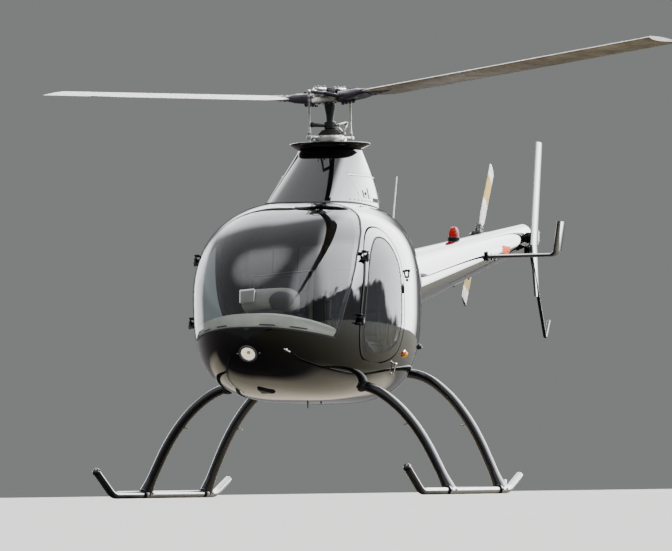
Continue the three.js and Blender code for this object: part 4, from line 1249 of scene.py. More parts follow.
def boom_section(y):
    share = (y - POD_END_Y) / (BOOM_END_Y - POD_END_Y)
    half_width, top, bottom = (mix(BOOM_ROOT[k], BOOM_TIP[k], share) for k in ("half_width", "top", "bottom"))
    return half_width, top, bottom, (top + bottom) / 2, 2, 2


def aerofoil(chord, thickness, rows=14):
    """A symmetric aerofoil as (distance behind the nose, height) points."""
    shares = [(1 - math.cos(math.pi * i / rows)) / 2 for i in range(1, rows)]

    def half(s):
        return 5 * thickness * (0.2969 * s**0.5 - 0.126 * s - 0.3516 * s**2 + 0.2843 * s**3 - 0.1036 * s**4)

    over = [(s * chord, half(s) * chord) for s in shares]
    under = [(s * chord, -half(s) * chord) for s in reversed(shares)]
    return [(0, 0), *over, (chord, 0), *under]


def foil(stations, thickness, aft, across):
    """A blade or fin through (leading edge point, chord) stations."""
    rings = [
        [Vector(point) + Vector(aft) * back + Vector(across) * up for back, up in aerofoil(chord, thickness)]
        for point, chord in stations
    ]
    return loft(rings)


FIN_X = 0.112


def make_tail():
    rings = [superellipse(boom_section(y), y, 64) for y in np.linspace(POD_END_Y + GAP, BOOM_END_Y, 24)]
    boom = mesh_object("tail_boom_skin", *loft(rings), smooth=40)
    dressed(outward(boom), "gloss", replaces=["tail_boom"])

    aft, up, out = (0, 1, 0), (0, 0, 1), (1, 0, 0)
    for name, rows in (
        ("upper", [(4.206, 1.640, 0.190), (4.396, 2.325, 0.166), (4.404, 2.335, 0.150)]),
        ("lower", [(4.304, 1.300, 0.112), (4.298, 1.310, 0.126), (4.206, 1.638, 0.190)]),
    ):
        fin = foil([(at(FIN_X, y, z), chord) for y, z, chord in rows], 0.1, aft, out)
        parts = [fin]
        if name == "upper":
            parts.append(block((0.05, 0.06, 0.07), at(FIN_X - 0.026, 4.300, 1.690)))
        else:
            parts.append(block((0.05, 0.05, 0.06), at(FIN_X - 0.026, 4.260, 1.600)))
            ends = [at(FIN_X, 4.215, 1.590), at(FIN_X, 4.560, 1.030), at(FIN_X, 4.665, 1.150)]
            parts.append(tube(bent_path(ends, 0.025), 0.011, 16))
        piece(f"fin_{name}_skin", parts, "gloss", replaces=[f"fin_{name}"], smooth=40)

    make_stabilizers()


def make_stabilizers():
    """One bent foil a side: flat, then round a bend and up into the winglet."""
    y, z, chord, tip, bend, height = 3.060, 1.522, 0.200, 0.566, 0.034, 0.225
    # Place out and up, and the direction across the foil there
    line = [((0.105, 0.0), (0, 1)), ((tip - bend, 0.0), (0, 1))]
    for step in range(1, 9):
        angle = math.radians(82) * step / 8
        place = (tip - bend + bend * math.sin(angle), bend * (1 - math.cos(angle)))
        line.append((place, (-math.sin(angle), math.cos(angle))))
    (x, up), across = line[-1]
    for share in (0.5, 0.97, 1.0):
        line.append(((mix(x, tip + 0.026, share), mix(up, height - 0.010, share)), across))
    rings = []
    for (x, rise), (across_x, across_z) in line:
        taper = 0.95 if rise > height - 0.012 else 1
        back = 0.012 * max(0.0, rise / height)
        section = aerofoil(chord * taper, 0.12)
        nose = at(x, y + back, z + rise)
        rings.append([nose + Vector((across_x * h, along, across_z * h)) for along, h in section])
    half = loft(rings)
    boss = block((0.046, 0.150, 0.026), at(0.136, y + 0.095, z), edge=0.010)
    bolts = [bolt(at(0.140, y + dy, z + 0.011), (0, 0, 1), 0.014, 0.009) for dy in (0.050, 0.140)]
    bolts += [bolt(at(0.140, y + dy, z - 0.011), (0, 0, -1), 0.014, 0.012) for dy in (0.050, 0.140)]
    strap = [block((0.012, 0.016, 0.062), at(0.122, y + 0.006, z), edge=0.003)]
    for side, turn in SIDES:
        skin = [turn(half), turn(boss)]
        piece(f"stabilizer_{side}_skin", skin, "gloss", replaces=[f"stabilizer_{side}"], smooth=40)
        piece(f"stabilizer_bolts_{side}", [turn(part) for part in bolts], "alloy")
        piece(f"stabilizer_clamp_{side}", [turn(part) for part in strap], "satin")


def boom_side(y, z):
    """The point on the boom's left side at y and z, and the direction out of it."""
    half_width, top, bottom, middle, _, _ = (float(v) for v in boom_section(y))
    reach = (top - bottom) / 2
    rise = max(-1.0, min(1.0, (z - middle) / reach))
    x = half_width * math.sqrt(1 - rise**2)
    return at(x, y, z), Vector((x / half_width**2, 0, (z - middle) / reach**2)).normalized()


def make_tail_fittings():
    patch = skin_patch(boom_side, np.linspace(3.530, 3.760, 10), np.linspace(1.562, 1.610, 6), 0.0009)
    piece("boom_patch", [patch], "orange")
    rings = []
    for behind, size in ((0.001, 1.018), (0.013, 1.018), (0.013, 0.98746), (0.001, 0.98746)):
        y = POD_END_Y + behind
        ring = superellipse(boom_section(y), y, 96)
        rings.append([(x * size, y0, BOOM_MIDDLE + (z - BOOM_MIDDLE) * size) for x, y0, z in ring])
    piece("boom_collar", [hoop(rings)], "rubber")
    pins = []
    for y in (2.660, 3.020):
        foot = at(0.010, y, boom_section(y)[2])
        pins.append(rod(foot + Vector((0, 0, 0.002)), foot - Vector((0, 0, 0.016)), 0.005))
        pins.append(rod(foot, foot - Vector((0, 0, 0.005)), 0.010))
    piece("boom_drains", pins, "satin")
    rivets = []
    for y in np.linspace(4.250, 4.385, 6):
        rivets.append(both(rivet(*boom_side(y, float(boom_section(y)[3]) + 0.030), 0.0035)))
    piece("boom_rivets", rivets, "satin")

    y = 2.710
    seat = boom_section(y)[1]
    foot = at(0, y, 0)[:2]
    base = [(0.037, -0.014), (0.039, 0.004), (0.039, 0.012), (0.035, 0.017)]
    base = [(radius, seat + up) for radius, up in base]
    piece("beacon_base", [lathe(base, foot, 40)], "satin")
    dome = [(0.033, 0.0175), (0.0335, 0.030), (0.032, 0.048), (0.029, 0.062)]
    dome += [(0.023, 0.073), (0.014, 0.080), (0.004, 0.082)]
    dome = [(radius, seat + up) for radius, up in dome]
    piece("beacon_dome", [lathe(dome, foot, 40)], "red", replaces=["beacon"], smooth=60)
    cage = []
    for angle in (0.4, 1.97, 3.54, 5.11):
        c, s = math.cos(angle), math.sin(angle)
        cage.append(tube([(foot[0] + r * c, foot[1] + r * s, z) for r, z in dome[1:5]], 0.0012, 8))
    piece("beacon_ribs", cage, "satin")

    rows = [(0, 0.0065), (0.35, 0.0052), (0.98, 0.0038), (1, 0.003)]
    mast = [rod(at(0.1655, 0.696, 1.524), at(0.167, 0.708, 1.570), 0.011, 0.008)]
    mast.append(turned(at(0.167, 0.708, 1.568), at(0.174, 0.810, 1.922), rows, 16))
    piece("antenna_rod", mast, "white_trim", replaces=["antenna"])


def make_gearbox():
    rings = []
    half_width, top, bottom, centre, _, _ = boom_section(BOOM_END_Y)
    for y, share in ((GAP, 1.0), (0.012, 1.0), (0.024, 0.96), (0.034, 0.88), (0.040, 0.74)):
        reach = (top - bottom) / 2 * share
        section = (half_width * share, centre + reach, centre - reach, centre, 2, 2)
        rings.append(superellipse(section, BOOM_END_Y + y, 48))
    case = [loft(rings)]
    middle = at(0, 4.460, 1.715)
    rows = [(0, 0.030), (0.12, 0.046), (0.3, 0.053), (0.7, 0.053), (0.88, 0.046), (1, 0.030)]
    case.append(turned(middle - Vector((0.050, 0, 0)), middle + Vector((0.050, 0, 0)), rows, 48))
    for x in (-0.026, -0.013, 0, 0.013, 0.026):
        ends = [middle + Vector((x + half, 0, 0)) for half in (-0.002, 0.002)]
        case.append(rod(*ends, 0.0565, sides=40))
    case.append(rod(middle + Vector((0, 0.045, 0.020)), middle + Vector((0, 0.062, 0.020)), 0.010))
    axle = at(0, TAIL_HUB[1], TAIL_HUB[2])
    sleeve = [(0, 0.034), (0.06, 0.034), (0.08, 0.030), (0.55, 0.028), (0.6, 0.031)]
    sleeve += [(0.9, 0.0285), (1, 0.024)]
    case.append(turned(axle - Vector((0.040, 0, 0)), axle - Vector((0.188, 0, 0)), sleeve, 40))
    piece("gearbox_case", case, "cast", replaces=["tail_gearbox"])

    cover = at(0.040, 4.520, 1.709)
    rows = [(0, 0.060), (0.3, 0.066), (0.75, 0.066), (0.9, 0.058), (1, 0.036)]
    lid = turned(cover, cover + Vector((0.042, 0, 0)), rows, 48)
    neck = rod(cover - Vector((0.030, 0, 0)), cover + Vector((0.002, 0, 0)), 0.050)
    piece("gearbox_cover", [lid, neck], "cream")
    screws = [rod(cover + Vector((0.038, 0, 0)), cover + Vector((0.045, 0, 0)), 0.012)]
    for k in range(6):
        turn = Matrix.Rotation(math.radians(60 * k), 4, "X")
        rim, flange = turn @ Vector((0.037, 0, 0.054)), turn @ Vector((-0.040, 0, 0.040))
        screws.append(bolt(cover + rim, (1, 0, 0), 0.009, 0.007))
        screws.append(bolt(axle + flange, (-1, 0, 0), 0.009, 0.007))
    piece("gearbox_bolts", screws, "steel")

    arms = [block((0.010, 0.064, 0.022), at(0.052, 4.424, 1.652), (24, 0, 0), 0.003)]
    arms.append(block((0.010, 0.022, 0.058), at(0.052, 4.446, 1.668), (10, 0, 0), 0.003))
    # Columns: start, end, radius
    for start, end, radius in (
        ((0.040, 4.446, 1.650), (0.066, 4.446, 1.650), 0.009),
        ((0.062, 4.404, 1.640), (0.062, 4.330, 1.628), 0.005),
        ((0.020, 4.452, 1.690), (-0.060, 4.470, 1.760), 0.005),
        ((0.058, 4.300, 1.655), (0.058, 4.300, 1.722), 0.008),
    ):
        arms.append(rod(at(*start), at(*end), radius))
    piece("pitch_arms", arms, "satin")


ON_TAIL = Matrix.Translation(at(*TAIL_HUB)) @ Matrix.Rotation(math.radians(TAIL_LEAN), 4, "X")


def make_tail_rotor():
    rows = [(0, 0.026), (0.1, 0.030), (0.75, 0.026), (0.9, 0.022), (1, 0.012)]
    hub = [rod((0.1196, 0, 0), (-0.030, 0, 0), 0.014)]
    hub.append(turned((0.024, 0, 0), (-0.046, 0, 0), rows, 32))
    hub += [block((0.010, 0.056, 0.150), (x, 0, 0), edge=0.003) for x in (0.011, -0.011)]
    piece("tail_hub_plates", hub, "satin", "tail_rotor", ["tail_rotor_hub"], place=ON_TAIL)
    bolts = []
    for z in (-0.064, -0.044, 0.044, 0.064):
        for y in (-0.016, 0.016):
            bolts += [bolt((out * 0.016, y, z), (out, 0, 0), 0.010, 0.007) for out in (1, -1)]
    bolts.append(bolt((-0.046, 0, 0), (-1, 0, 0), 0.022, 0.012))
    piece("tail_hub_bolts", bolts, "alloy", "tail_rotor", place=ON_TAIL)
    for name, turn in (("a", Matrix()), ("b", Matrix.Rotation(math.pi, 4, "X"))):
        stations = [(0.0762, 0.056), (0.110, 0.080), (0.150, 0.112), (0.175, TAIL_CHORD)]
        stations += [(z, TAIL_CHORD) for z in (0.300, 0.440, 0.500, 0.592)] + [(0.5995, 0.100)]
        stations = [((0, -chord * 0.3, z), chord) for z, chord in stations]
        blade = foil(stations, 0.115, (0, 1, 0), (1, 0, 0))
        made = solid(f"tail_blade_{name}_skin", blade, smooth=40)
        dressed(made, "white", "tail_rotor", [f"tail_blade_{name}"])
        for material in ("yellow", "steel"):
            made.data.materials.append(M[material])
        for polygon in made.data.polygons:
            radius = abs(polygon.center.z)
            polygon.material_index = 1 if 0.30 < radius < 0.50 else 2 if radius > 0.5925 else 0
        made.data.transform(ON_TAIL @ turn)


# Cockpit


FLOOR_Z, SEAT_BOX_TOP, BULKHEAD_Y = 0.696, 0.788, -0.130
LINING = WALL + 0.0006  # the cabin's pieces stop this far inside the pod's surface
SEAT_X, BELT = 0.236, 0.045
CUSHION, SEAT_BACK, BACK_LEAN = (0.400, 0.440, 0.100), (0.410, 0.078, 0.560), -8.0


def make_floor():
    pan = solid("floor_pan", block((1.4, 1.56, 0.022), at(0, -0.930, FLOOR_Z - 0.011), edge=0), None)
    pan = combine(pan, slab(-3, BULKHEAD_Y - 0.0115), "INTERSECT")
    pan = combine(pan, pod("cut", LINING), "INTERSECT")
    dressed(pan, "carpet", replaces=["cabin_floor"])
    size, middle = (0.93, 0.56, SEAT_BOX_TOP - FLOOR_Z - GAP), (SEAT_BOX_TOP + FLOOR_Z + GAP) / 2
    box = solid("seat_box", block(size, at(0, -0.520, middle), edge=0.014))
    dressed(soften(combine(box, pod("cut", LINING), "INTERSECT")), "grey_trim")


def make_bulkhead():
    wall = block((1.4, 0.016, 1.4), at(0, BULKHEAD_Y + 0.003, 1.150), edge=0)
    wall = combine(solid("bulkhead_panel", wall, None), pod("cut", LINING), "INTERSECT")
    dressed(wall, "dark_trim", replaces=["bulkhead"])
    quilt = []
    for x in np.linspace(-0.40, 0.40, 6):
        for z in (1.330, 1.010):
            quilt.append(block((0.150, 0.008, 0.300), at(x, BULKHEAD_Y - 0.0055, z), edge=0.003))
    pads = solid("bulkhead_pads", joined(*quilt), None)
    dressed(soften(combine(pads, pod("cut", LINING + 0.02), "INTERSECT")), "seat")
    studs = []
    for x in np.linspace(-0.32, 0.32, 5):
        for z, proud in ((0.88, 0.005), (1.17, 0.0095), (1.47, 0.005)):
            studs.append(rivet(at(x, BULKHEAD_Y - proud, z), (0, -1, 0), 0.006, 0.5))
    piece("bulkhead_studs", studs, "satin")


def make_pedals():
    arms, pads = [], []
    for side in (1, -1):
        for offset in (-0.062, 0.062):
            x = side * (SEAT_X - 0.040) + offset
            foot, tread = at(x, -1.180, FLOOR_Z + GAP), at(x, -1.215, FLOOR_Z + 0.130)
            knee = foot.lerp(tread, 0.55) + Vector((0, 0.012, 0))
            arms.append(tube(bent_path([foot, knee, tread], 0.03), 0.0075, 16))
            arms.append(rod(foot, foot + Vector((0, 0, 0.012)), 0.016))
            pads.append(block((0.080, 0.009, 0.060), tread, (-18, 0, 0), 0.004))
            for rise in (-0.018, 0, 0.018):
                centre = tread + Vector((0, 0.004 + 0.309 * rise, 0.951 * rise))
                pads.append(block((0.066, 0.008, 0.005), centre, (-18, 0, 0), 0.0015))
    piece("pedal_arms", arms, "satin")
    piece("pedal_pads", pads, "rubber")


def make_collectives():
    grip_rows = [(0, 0.0105), (0.03, 0.0130), (0.45, 0.0130), (0.48, 0.0110)]
    grip_rows += [(0.54, 0.0110), (0.57, 0.0135), (0.95, 0.0135), (1, 0.009)]
    boot_rows = [(0, 0.026), (0.2, 0.024), (0.5, 0.016), (1, 0.012)]
    tubes, grips, keys = [], [], []
    for x in (0.458, 0.0):
        pivot, end = at(x, -0.560, FLOOR_Z + 0.030), at(x, -0.900, FLOOR_Z + 0.190)
        foot, joint = pivot.lerp(end, 0.40), pivot.lerp(end, 0.62)
        tubes.append(rod(foot, joint, 0.0105, 0.0095))
        grips.append(turned(joint - (end - foot) * 0.01, end, grip_rows, 28))
        grips.append(turned(foot - (end - foot) * 0.02, foot.lerp(end, 0.15), boot_rows, 24))
        keys.append(rod(end, end + (end - joint).normalized() * 0.006, 0.006))
    piece("collective_tubes", tubes, "satin")
    piece("collective_grips", grips, "rubber")
    return keys


def make_levers():
    keys = make_collectives()
    grip_rows = [(0, 0.0125), (0.06, 0.0160), (0.3, 0.0145), (0.45, 0.0155)]
    grip_rows += [(0.6, 0.0145), (0.8, 0.0160), (1, 0.0120)]
    folds = [(0.031, FLOOR_Z + GAP), (0.031, FLOOR_Z + 0.004)]
    for i in range(4):
        z, radius = FLOOR_Z + 0.006 + 0.008 * i, 0.029 - 0.004 * i
        folds += [(radius, z), (radius - 0.006, z + 0.006)]
    folds.append((0.011, FLOOR_Z + 0.040))
    for side, x in (("left", SEAT_X), ("right", -SEAT_X)):
        parts = [lathe(folds, at(x, -0.930, 0)[:2], 32)]
        heights = [(-0.930, 0.030), (-0.928, 0.120), (-0.900, 0.220), (-0.864, 0.320)]
        parts.append(tube(catmull([at(x, y, FLOOR_Z + z) for y, z in heights], 20), 0.0095, 16))
        low, top = at(x, -0.862, FLOOR_Z + 0.314), at(x, -0.852, FLOOR_Z + 0.418)
        parts.append(turned(low, top, grip_rows, 28))
        parts.append(block((0.029, 0.031, 0.016), top + Vector((0, -0.001, 0.001)), (-6, 0, 0), 0.006))
        parts.append(block((0.008, 0.008, 0.028), top + Vector((0, -0.0145, -0.032)), (-12, 0, 0), 0.003))
        piece(f"cyclic_stick_{side}", parts, "rubber", replaces=[f"cyclic_{side}"])
        for x_off, y_off, radius in ((-0.006, 0.002, 0.004), (0.007, 0.004, 0.0035)):
            ends = [top + Vector((x_off, y_off, up)) for up in (0.007, 0.011)]
            keys.append(rod(*ends, radius))
    piece("stick_buttons", keys, "red")


def sill_below(x):
    """The height of the windshield's lower edge ahead of x."""
    y = pod_front(x, 0.93)[0].y - MAST_Y
    (y0, z0), (y1, z1) = WINDSHIELD[:2]
    return mix(z0, z1, (y - y0) / (y1 - y0))


DECK_HALF, DECK_SIDE_Z, DECK_CROWN, DECK_REAR_Y = 0.430, 0.925, 0.105, -1.275


def deck_face(x, above):
    """The front of the glare shield at some height above the windshield's lower edge."""
    point, out = pod_front(x, sill_below(x) + above)
    return point - out * (0.010 if above > 0 else LINING + 0.002), out


def make_deck():
    rings = []
    for x in np.linspace(-0.412, 0.412, 57):
        crown = max(0.0, 1 - (x / DECK_HALF) ** 2)
        top, sill = DECK_SIDE_Z + DECK_CROWN * crown**0.8, sill_below(x)
        heights = [-0.030, -0.004, 0.006, mix(0.006, top - sill - 0.006, 0.5), top - sill - 0.006]
        ring = [deck_face(x, above)[0] for above in heights]
        front = ring[-1].y - MAST_Y + 0.005
        rear = max(DECK_REAR_Y, front + 0.03)
        for share in np.linspace(0, 1, 8):
            ring.append(at(x, mix(front, rear, share), top + 0.010 * math.sin(math.pi * share) * crown))
        for back, drop in ((0.006, 0.005), (0.008, 0.014), (0.005, 0.026), (-0.004, 0.030)):
            ring.append(at(x, rear + back, top - drop))
        ring.append(at(x, mix(front, rear, 0.5), top - 0.030))
        rings.append(ring)
    deck = outward(mesh_object("glare_shield", *loft(rings), smooth=40))
    dressed(deck, "grey_trim", replaces=["instrument_deck"])

    slots = []
    for middle, width in ((-0.285, 0.060), (-0.165, 0.070), (0.115, 0.085), (0.270, 0.080)):
        us = np.linspace(middle - width / 2, middle + width / 2, 7)
        slots.append(skin_patch(deck_face, us, np.linspace(0.014, 0.021, 3), lift=0.0012))
    piece("demist_slots", slots, "rubber")

    rings = []
    for z, wide, deep in (
        (FLOOR_Z + GAP, 0.118, 0.083),
        (0.80, 0.112, 0.078),
        (0.93, 0.104, 0.070),
        (0.985, 0.100, 0.066),
    ):
        rings.append([at(wide * x, -1.345 + deep * y, z) for x, y in rounded(48, 0.35)])
    piece("console", [loft(rings)], "dark_trim")


PANEL = Matrix.Translation(at(0.015, -1.290, 1.121)) @ Matrix.Rotation(math.radians(-10), 4, "X")
PANEL_WIDE, PANEL_TALL = 0.168, 0.066


def make_panel():
    """The instrument pod. Its axes are X, Y towards the seats and Z."""
    # Columns: depth, shares of the width and height
    rows = [(-0.066, 0.45, 0.30), (-0.061, 0.74, 0.62), (-0.045, 0.91, 0.86), (-0.020, 0.98, 0.97)]
    rows += [(0.020, 1, 1), (0.053, 1, 1), (0.059, 0.985, 0.965), (0.059, 0.95, 0.88), (0.045, 0.93, 0.85)]
    rings = []
    for depth, wide, tall in rows:
        wide, tall = PANEL_WIDE * wide, PANEL_TALL * tall
        rings.append([(wide * x, depth, tall * z) for x, z in rounded(72, 0.5, 0.6)])
    hood = solid("instrument_hood", placed(loft(rings), PANEL), 40)
    dressed(hood, "hood", replaces=["instrument_pod"])
    egg = Matrix.Translation((0.080, -0.030, -0.012)) @ Matrix.Diagonal((0.082, 0.052, 0.058, 1))
    cover = placed(ball((0, 0, 0), 1.0, 40), egg)
    piece("instrument_cover", [cover], "dark_trim", smooth=60, place=PANEL)
    neck = block((0.190, 0.080, 0.050), at(0.015, -1.305, 1.042), edge=0.012)
    piece("instrument_neck", [neck], "dark_trim")
    make_dials()

    card = PANEL @ Matrix.Translation((-0.112, -0.052, 0.016)) @ Matrix.Rotation(math.radians(-14), 4, "Z")
    housing = [block((0.090, 0.036, 0.066), (0, 0, 0), edge=0.006)]
    housing.append(block((0.100, 0.006, 0.074), (0, -0.019, 0), edge=0.002))
    piece("card_frame", housing, "white_trim", place=card)
    face = block((0.092, 0.004, 0.066), (0.0045, -0.0212, -0.0045), edge=0.001)
    piece("card_face", [face], "hood", place=card)


def make_dials():
    out = Vector((0, 1, 0))
    bezels, marks = [], []
    plates = [block((0.292, 0.003, 0.086), (0, 0.0465, 0), edge=0.001)]
    bezel_rows = [(0, 0.0325), (0.6, 0.0325), (1, 0.030), (1, 0.0265), (0.4, 0.026), (0.4, 0.002)]
    for number, x in enumerate((-0.106, -0.036, 0.036, 0.106)):
        centre = Vector((x, 0.048, 0.008))
        bezels.append(turned(centre, centre + out * 0.006, bezel_rows, 48))
        plates.append(rod(centre + out * 0.0024, centre + out * 0.0032, 0.0255, edge=0.0002))
        # Columns: angle, how proud, width, length, distance from the middle
        strokes = [(-135 + 27 * k, 0.0034, 0.0012, 0.0050, 0.0205) for k in range(11)]
        strokes.append((-110 + 50 * number, 0.0040, 0.0018, 0.0200, 0.0080))
        for angle, proud, width, length, away in strokes:
            turn = Matrix.Translation(centre + out * proud) @ Matrix.Rotation(math.radians(angle), 4, "Y")
            marks.append(placed(block((width, 0.0006, length), (0, 0, away), edge=0), turn))
        marks.append(rod(centre + out * 0.0034, centre + out * 0.0052, 0.0028, edge=0.0003))
    for x in np.linspace(-0.125, 0.125, 6):
        bezels.append(rod((x, 0.047, -0.034), (x, 0.054, -0.034), 0.0055))
    piece("dial_bezels", bezels, "satin", place=PANEL)
    piece("dial_plates", plates, "dial", place=PANEL)
    piece("dial_marks", marks, "white_trim", place=PANEL)


def blown_pad(name, size, channels, top_axis, swell=0.014):
    """A pad at the origin: a smaller block blown up as cloth, then its sewn channels.

    channels are (axis, place) rows, sewn on the side that faces up, or forward where top_axis is 1.
    """
    small = [length - (2 * swell if axis == top_axis else 0.012) for axis, length in enumerate(size)]
    made = outward(mesh_object(name, *block(small, (0, 0, 0), edge=0.020), smooth=None))
    remesh = made.modifiers.new("remesh", "REMESH")
    remesh.mode = "VOXEL"
    remesh.voxel_size = 0.0075
    baked(made)
    before = np.array([v.co for v in made.data.vertices])
    cloth = made.modifiers.new("cloth", "CLOTH")
    cloth.settings.use_pressure = True
    cloth.settings.uniform_pressure_force = 4.0
    cloth.settings.effector_weights.gravity = 0.0
    cloth.point_cache.frame_start, cloth.point_cache.frame_end = 1, 20
    for number in range(1, 21):
        bpy.context.scene.frame_set(number)
    baked(made)
    points = np.array([v.co for v in made.data.vertices])
    moved = points - before
    reach = np.maximum(np.linalg.norm(moved, axis=1, keepdims=True), 1e-9)
    points = before + moved * np.minimum(1, swell / reach)
    facing = points[:, 2] if top_axis == 2 else -points[:, 1]
    depth = np.zeros(len(points))
    for axis, place in channels:
        depth = np.maximum(depth, np.exp(-(((points[:, axis] - place) / 0.0085) ** 2)))
    depth *= 0.009 * np.clip(facing / 0.015, 0, 1)
    points[:, top_axis] += -depth if top_axis == 2 else depth
    if top_axis == 2:
        points[:, 2] = np.maximum(points[:, 2], -size[2] / 2 + GAP)
    made.data.vertices.foreach_set("co", points.ravel())
    subdivide = made.modifiers.new("subdivide", "SUBSURF")
    subdivide.levels = 1
    baked(made)
    made.data.shade_smooth()
    return made


def around(tree, axis, level, count=110):
    """A loop round a pad, on its surface, square to an axis."""
    others = [Vector([float(k == i) for k in range(3)]) for i in range(3) if i != axis]
    middle = Vector([level if k == axis else 0.0 for k in range(3)])
    loop = []
    for i in range(count):
        angle = 2 * math.pi * i / count
        ray = math.cos(angle) * others[0] + math.sin(angle) * others[1]
        loop.append(tree.ray_cast(middle + ray, -ray)[0])
    return loop


def surface_of(pad):
    """A pad's surface, to find points on."""
    return BVHTree.FromPolygons([v.co for v in pad.data.vertices], [f.vertices[:] for f in pad.data.polygons])


def make_seats():
    lower = blown_pad("cushion", CUSHION, [(0, -0.075), (0, 0.075), (1, -0.150)], 2)
    channels = [(2, -0.150), (2, -0.010), (2, 0.130), (0, -0.125), (0, 0.125)]
    upper = blown_pad("back", SEAT_BACK, channels, 1)
    below, behind = surface_of(lower), surface_of(upper)
    lean = math.radians(-BACK_LEAN)
    rise = (SEAT_BACK[1] * math.sin(lean) + SEAT_BACK[2] * math.cos(lean)) / 2

    def on_cushion(x, y):
        return below.ray_cast(Vector((x, y, 1)), Vector((0, 0, -1)))[:2]

    def on_back(z, x):
        return behind.ray_cast(Vector((x, -1, z)), Vector((0, 1, 0)))[:2]

    # A belt is BELT wide and lies from 0.8 mm to 3 mm above the pad
    across = np.linspace(0.100, 0.100 + BELT, 6)
    lap = skin_patch(on_cushion, np.linspace(-0.160, 0.160, 40), across, 0.0030, -0.0008)
    shoulder = []
    for x in (-0.0975, 0.0525):
        across = np.linspace(x, x + BELT, 6)
        shoulder.append(skin_patch(on_back, np.linspace(-0.225, 0.235, 50), across, 0.0030, -0.0008))
    tongue, up = on_cushion(0.0, 0.1225)
    buckle = [block((0.052, 0.040, 0.012), tongue + up * 0.009, edge=0.003)]
    buckle.append(block((0.030, 0.014, 0.005), tongue + up * 0.016, edge=0.002))
    cushion_seam = ring_tube(around(below, 2, 0.030), 0.0032, Vector((0, 0, 1)))
    back_seam = ring_tube(around(behind, 1, -0.020), 0.0032, Vector((0, 1, 0)))
    shell = [block((0.380, 0.010, 0.540), (0, 0.0465, 0.004), edge=0.004)]
    shell += [rod((x, 0.048, -0.262), (x, 0.048, -0.277), 0.009) for x in (-0.15, 0.15)]
    for side, x in (("left", SEAT_X), ("right", -SEAT_X)):
        base = Matrix.Translation(at(x, -0.572, SEAT_BOX_TOP + GAP + CUSHION[2] / 2))
        tall = Matrix.Translation(at(x, -0.249, SEAT_BOX_TOP + GAP + rise)) @ Matrix.Rotation(-lean, 4, "X")
        for source, name, place, node in (
            (lower, "cushion", base, "seat_cushion"),
            (upper, "back_pad", tall, "seat_back"),
        ):
            made = copy_of(source, f"{name}_{side}")
            made.data.transform(place)
            dressed(made, "seat", replaces=[f"{node}_{side}"])
        piping = [placed(cushion_seam, base), placed(back_seam, tall)]
        piece(f"seat_piping_{side}", piping, "dark_trim")
        piece(f"lap_belt_{side}", [lap], "webbing", place=base)
        piece(f"shoulder_belts_{side}", shoulder, "webbing", place=tall)
        piece(f"belt_buckle_{side}", buckle, "chrome", place=base)
        piece(f"seat_shell_{side}", shell, "grey_trim", place=tall)
    for pad in (lower, upper):
        bpy.data.objects.remove(pad)


# Main rotor, in the head's own axes: its X runs along the blades


ON_MAST = Matrix.Translation(at(0, 0, 0)) @ Matrix.Rotation(math.radians(BLADE_HEADING), 4, "Z")
PIN = Matrix.Translation((0, 0, TEETER_Z))
ON_HEAD = ON_MAST @ PIN @ Matrix.Rotation(math.radians(REST_TEETER), 4, "Y") @ PIN.inverted()
HALF_TURN = Matrix.Rotation(math.pi, 4, "Z")


def make_swashplate():
    foot = CAP_Z + GAP
    lower = [(0.030, foot), (0.098, foot), (0.098, foot + 0.008), (0.093, foot + 0.011)]
    lower += [(0.093, foot + 0.014), (0.098, foot + 0.017), (0.098, foot + 0.024), (0.030, foot + 0.024)]
    parts = [lathe(lower, hollow=True, sides=64)]
    for angle in (20, 140, 260):
        turn = Matrix.Rotation(math.radians(angle), 4, "Z")
        parts.append(placed(block((0.034, 0.020, 0.016), (0.106, 0, foot + 0.010), edge=0.003), turn))
        parts.append(placed(bolt((0.114, 0, foot + 0.018), (0, 0, 1), 0.012, 0.009), turn))
    piece("swashplate_lower_ring", parts, "alloy", replaces=["swashplate_lower"], place=ON_MAST)

    foot, bore = CAP_Z + GAP + 0.0244, MAST_RADIUS + GAP
    upper = [(bore, foot), (0.098, foot), (0.098, foot + 0.006), (0.090, foot + 0.010), (0.080, foot + 0.020)]
    upper += [(0.080, foot + 0.024), (bore, foot + 0.024)]
    parts = [lathe(upper, hollow=True, sides=64)]
    for side in (1, -1):
        y = side * LINK_OFFSET
        parts.append(block((0.036, 0.075, 0.017), (0, side * 0.0985, foot + 0.011), edge=0.004))
        rows = [(0.017, foot), (0.020, foot + 0.003), (0.020, foot + 0.018), (0.016, foot + 0.021)]
        parts.append(lathe(rows, (0, y), 32))
    for angle in range(0, 360, 45):
        turn = Matrix.Rotation(math.radians(angle + 22), 4, "Z")
        parts.append(placed(bolt((0.0835, 0, foot + 0.0165), (0.75, 0, 0.6), 0.009, 0.006), turn))
    piece("swashplate_upper_ring", parts, "alloy", "rotor_mast", ["swashplate_upper"], place=ON_MAST)

    top = foot + 0.024
    outside, ribs = [(0.080, top - 0.004), (0.080, top)], 4
    for i in range(ribs):
        z = mix(top, top + 0.034, i / ribs)
        step, radius = 0.034 / ribs, mix(0.076, 0.042, i / ribs)
        outside += [(radius, z + 0.1 * step), (radius + 0.003, z + 0.35 * step)]
        outside.append((radius - 0.006, z + 0.8 * step))
    outside += [(0.036, top + 0.034), (bore, top + 0.034), (bore, top - 0.004)]
    piece("mast_boot", [lathe(outside, hollow=True)], "rubber", "rotor_mast", place=ON_MAST)


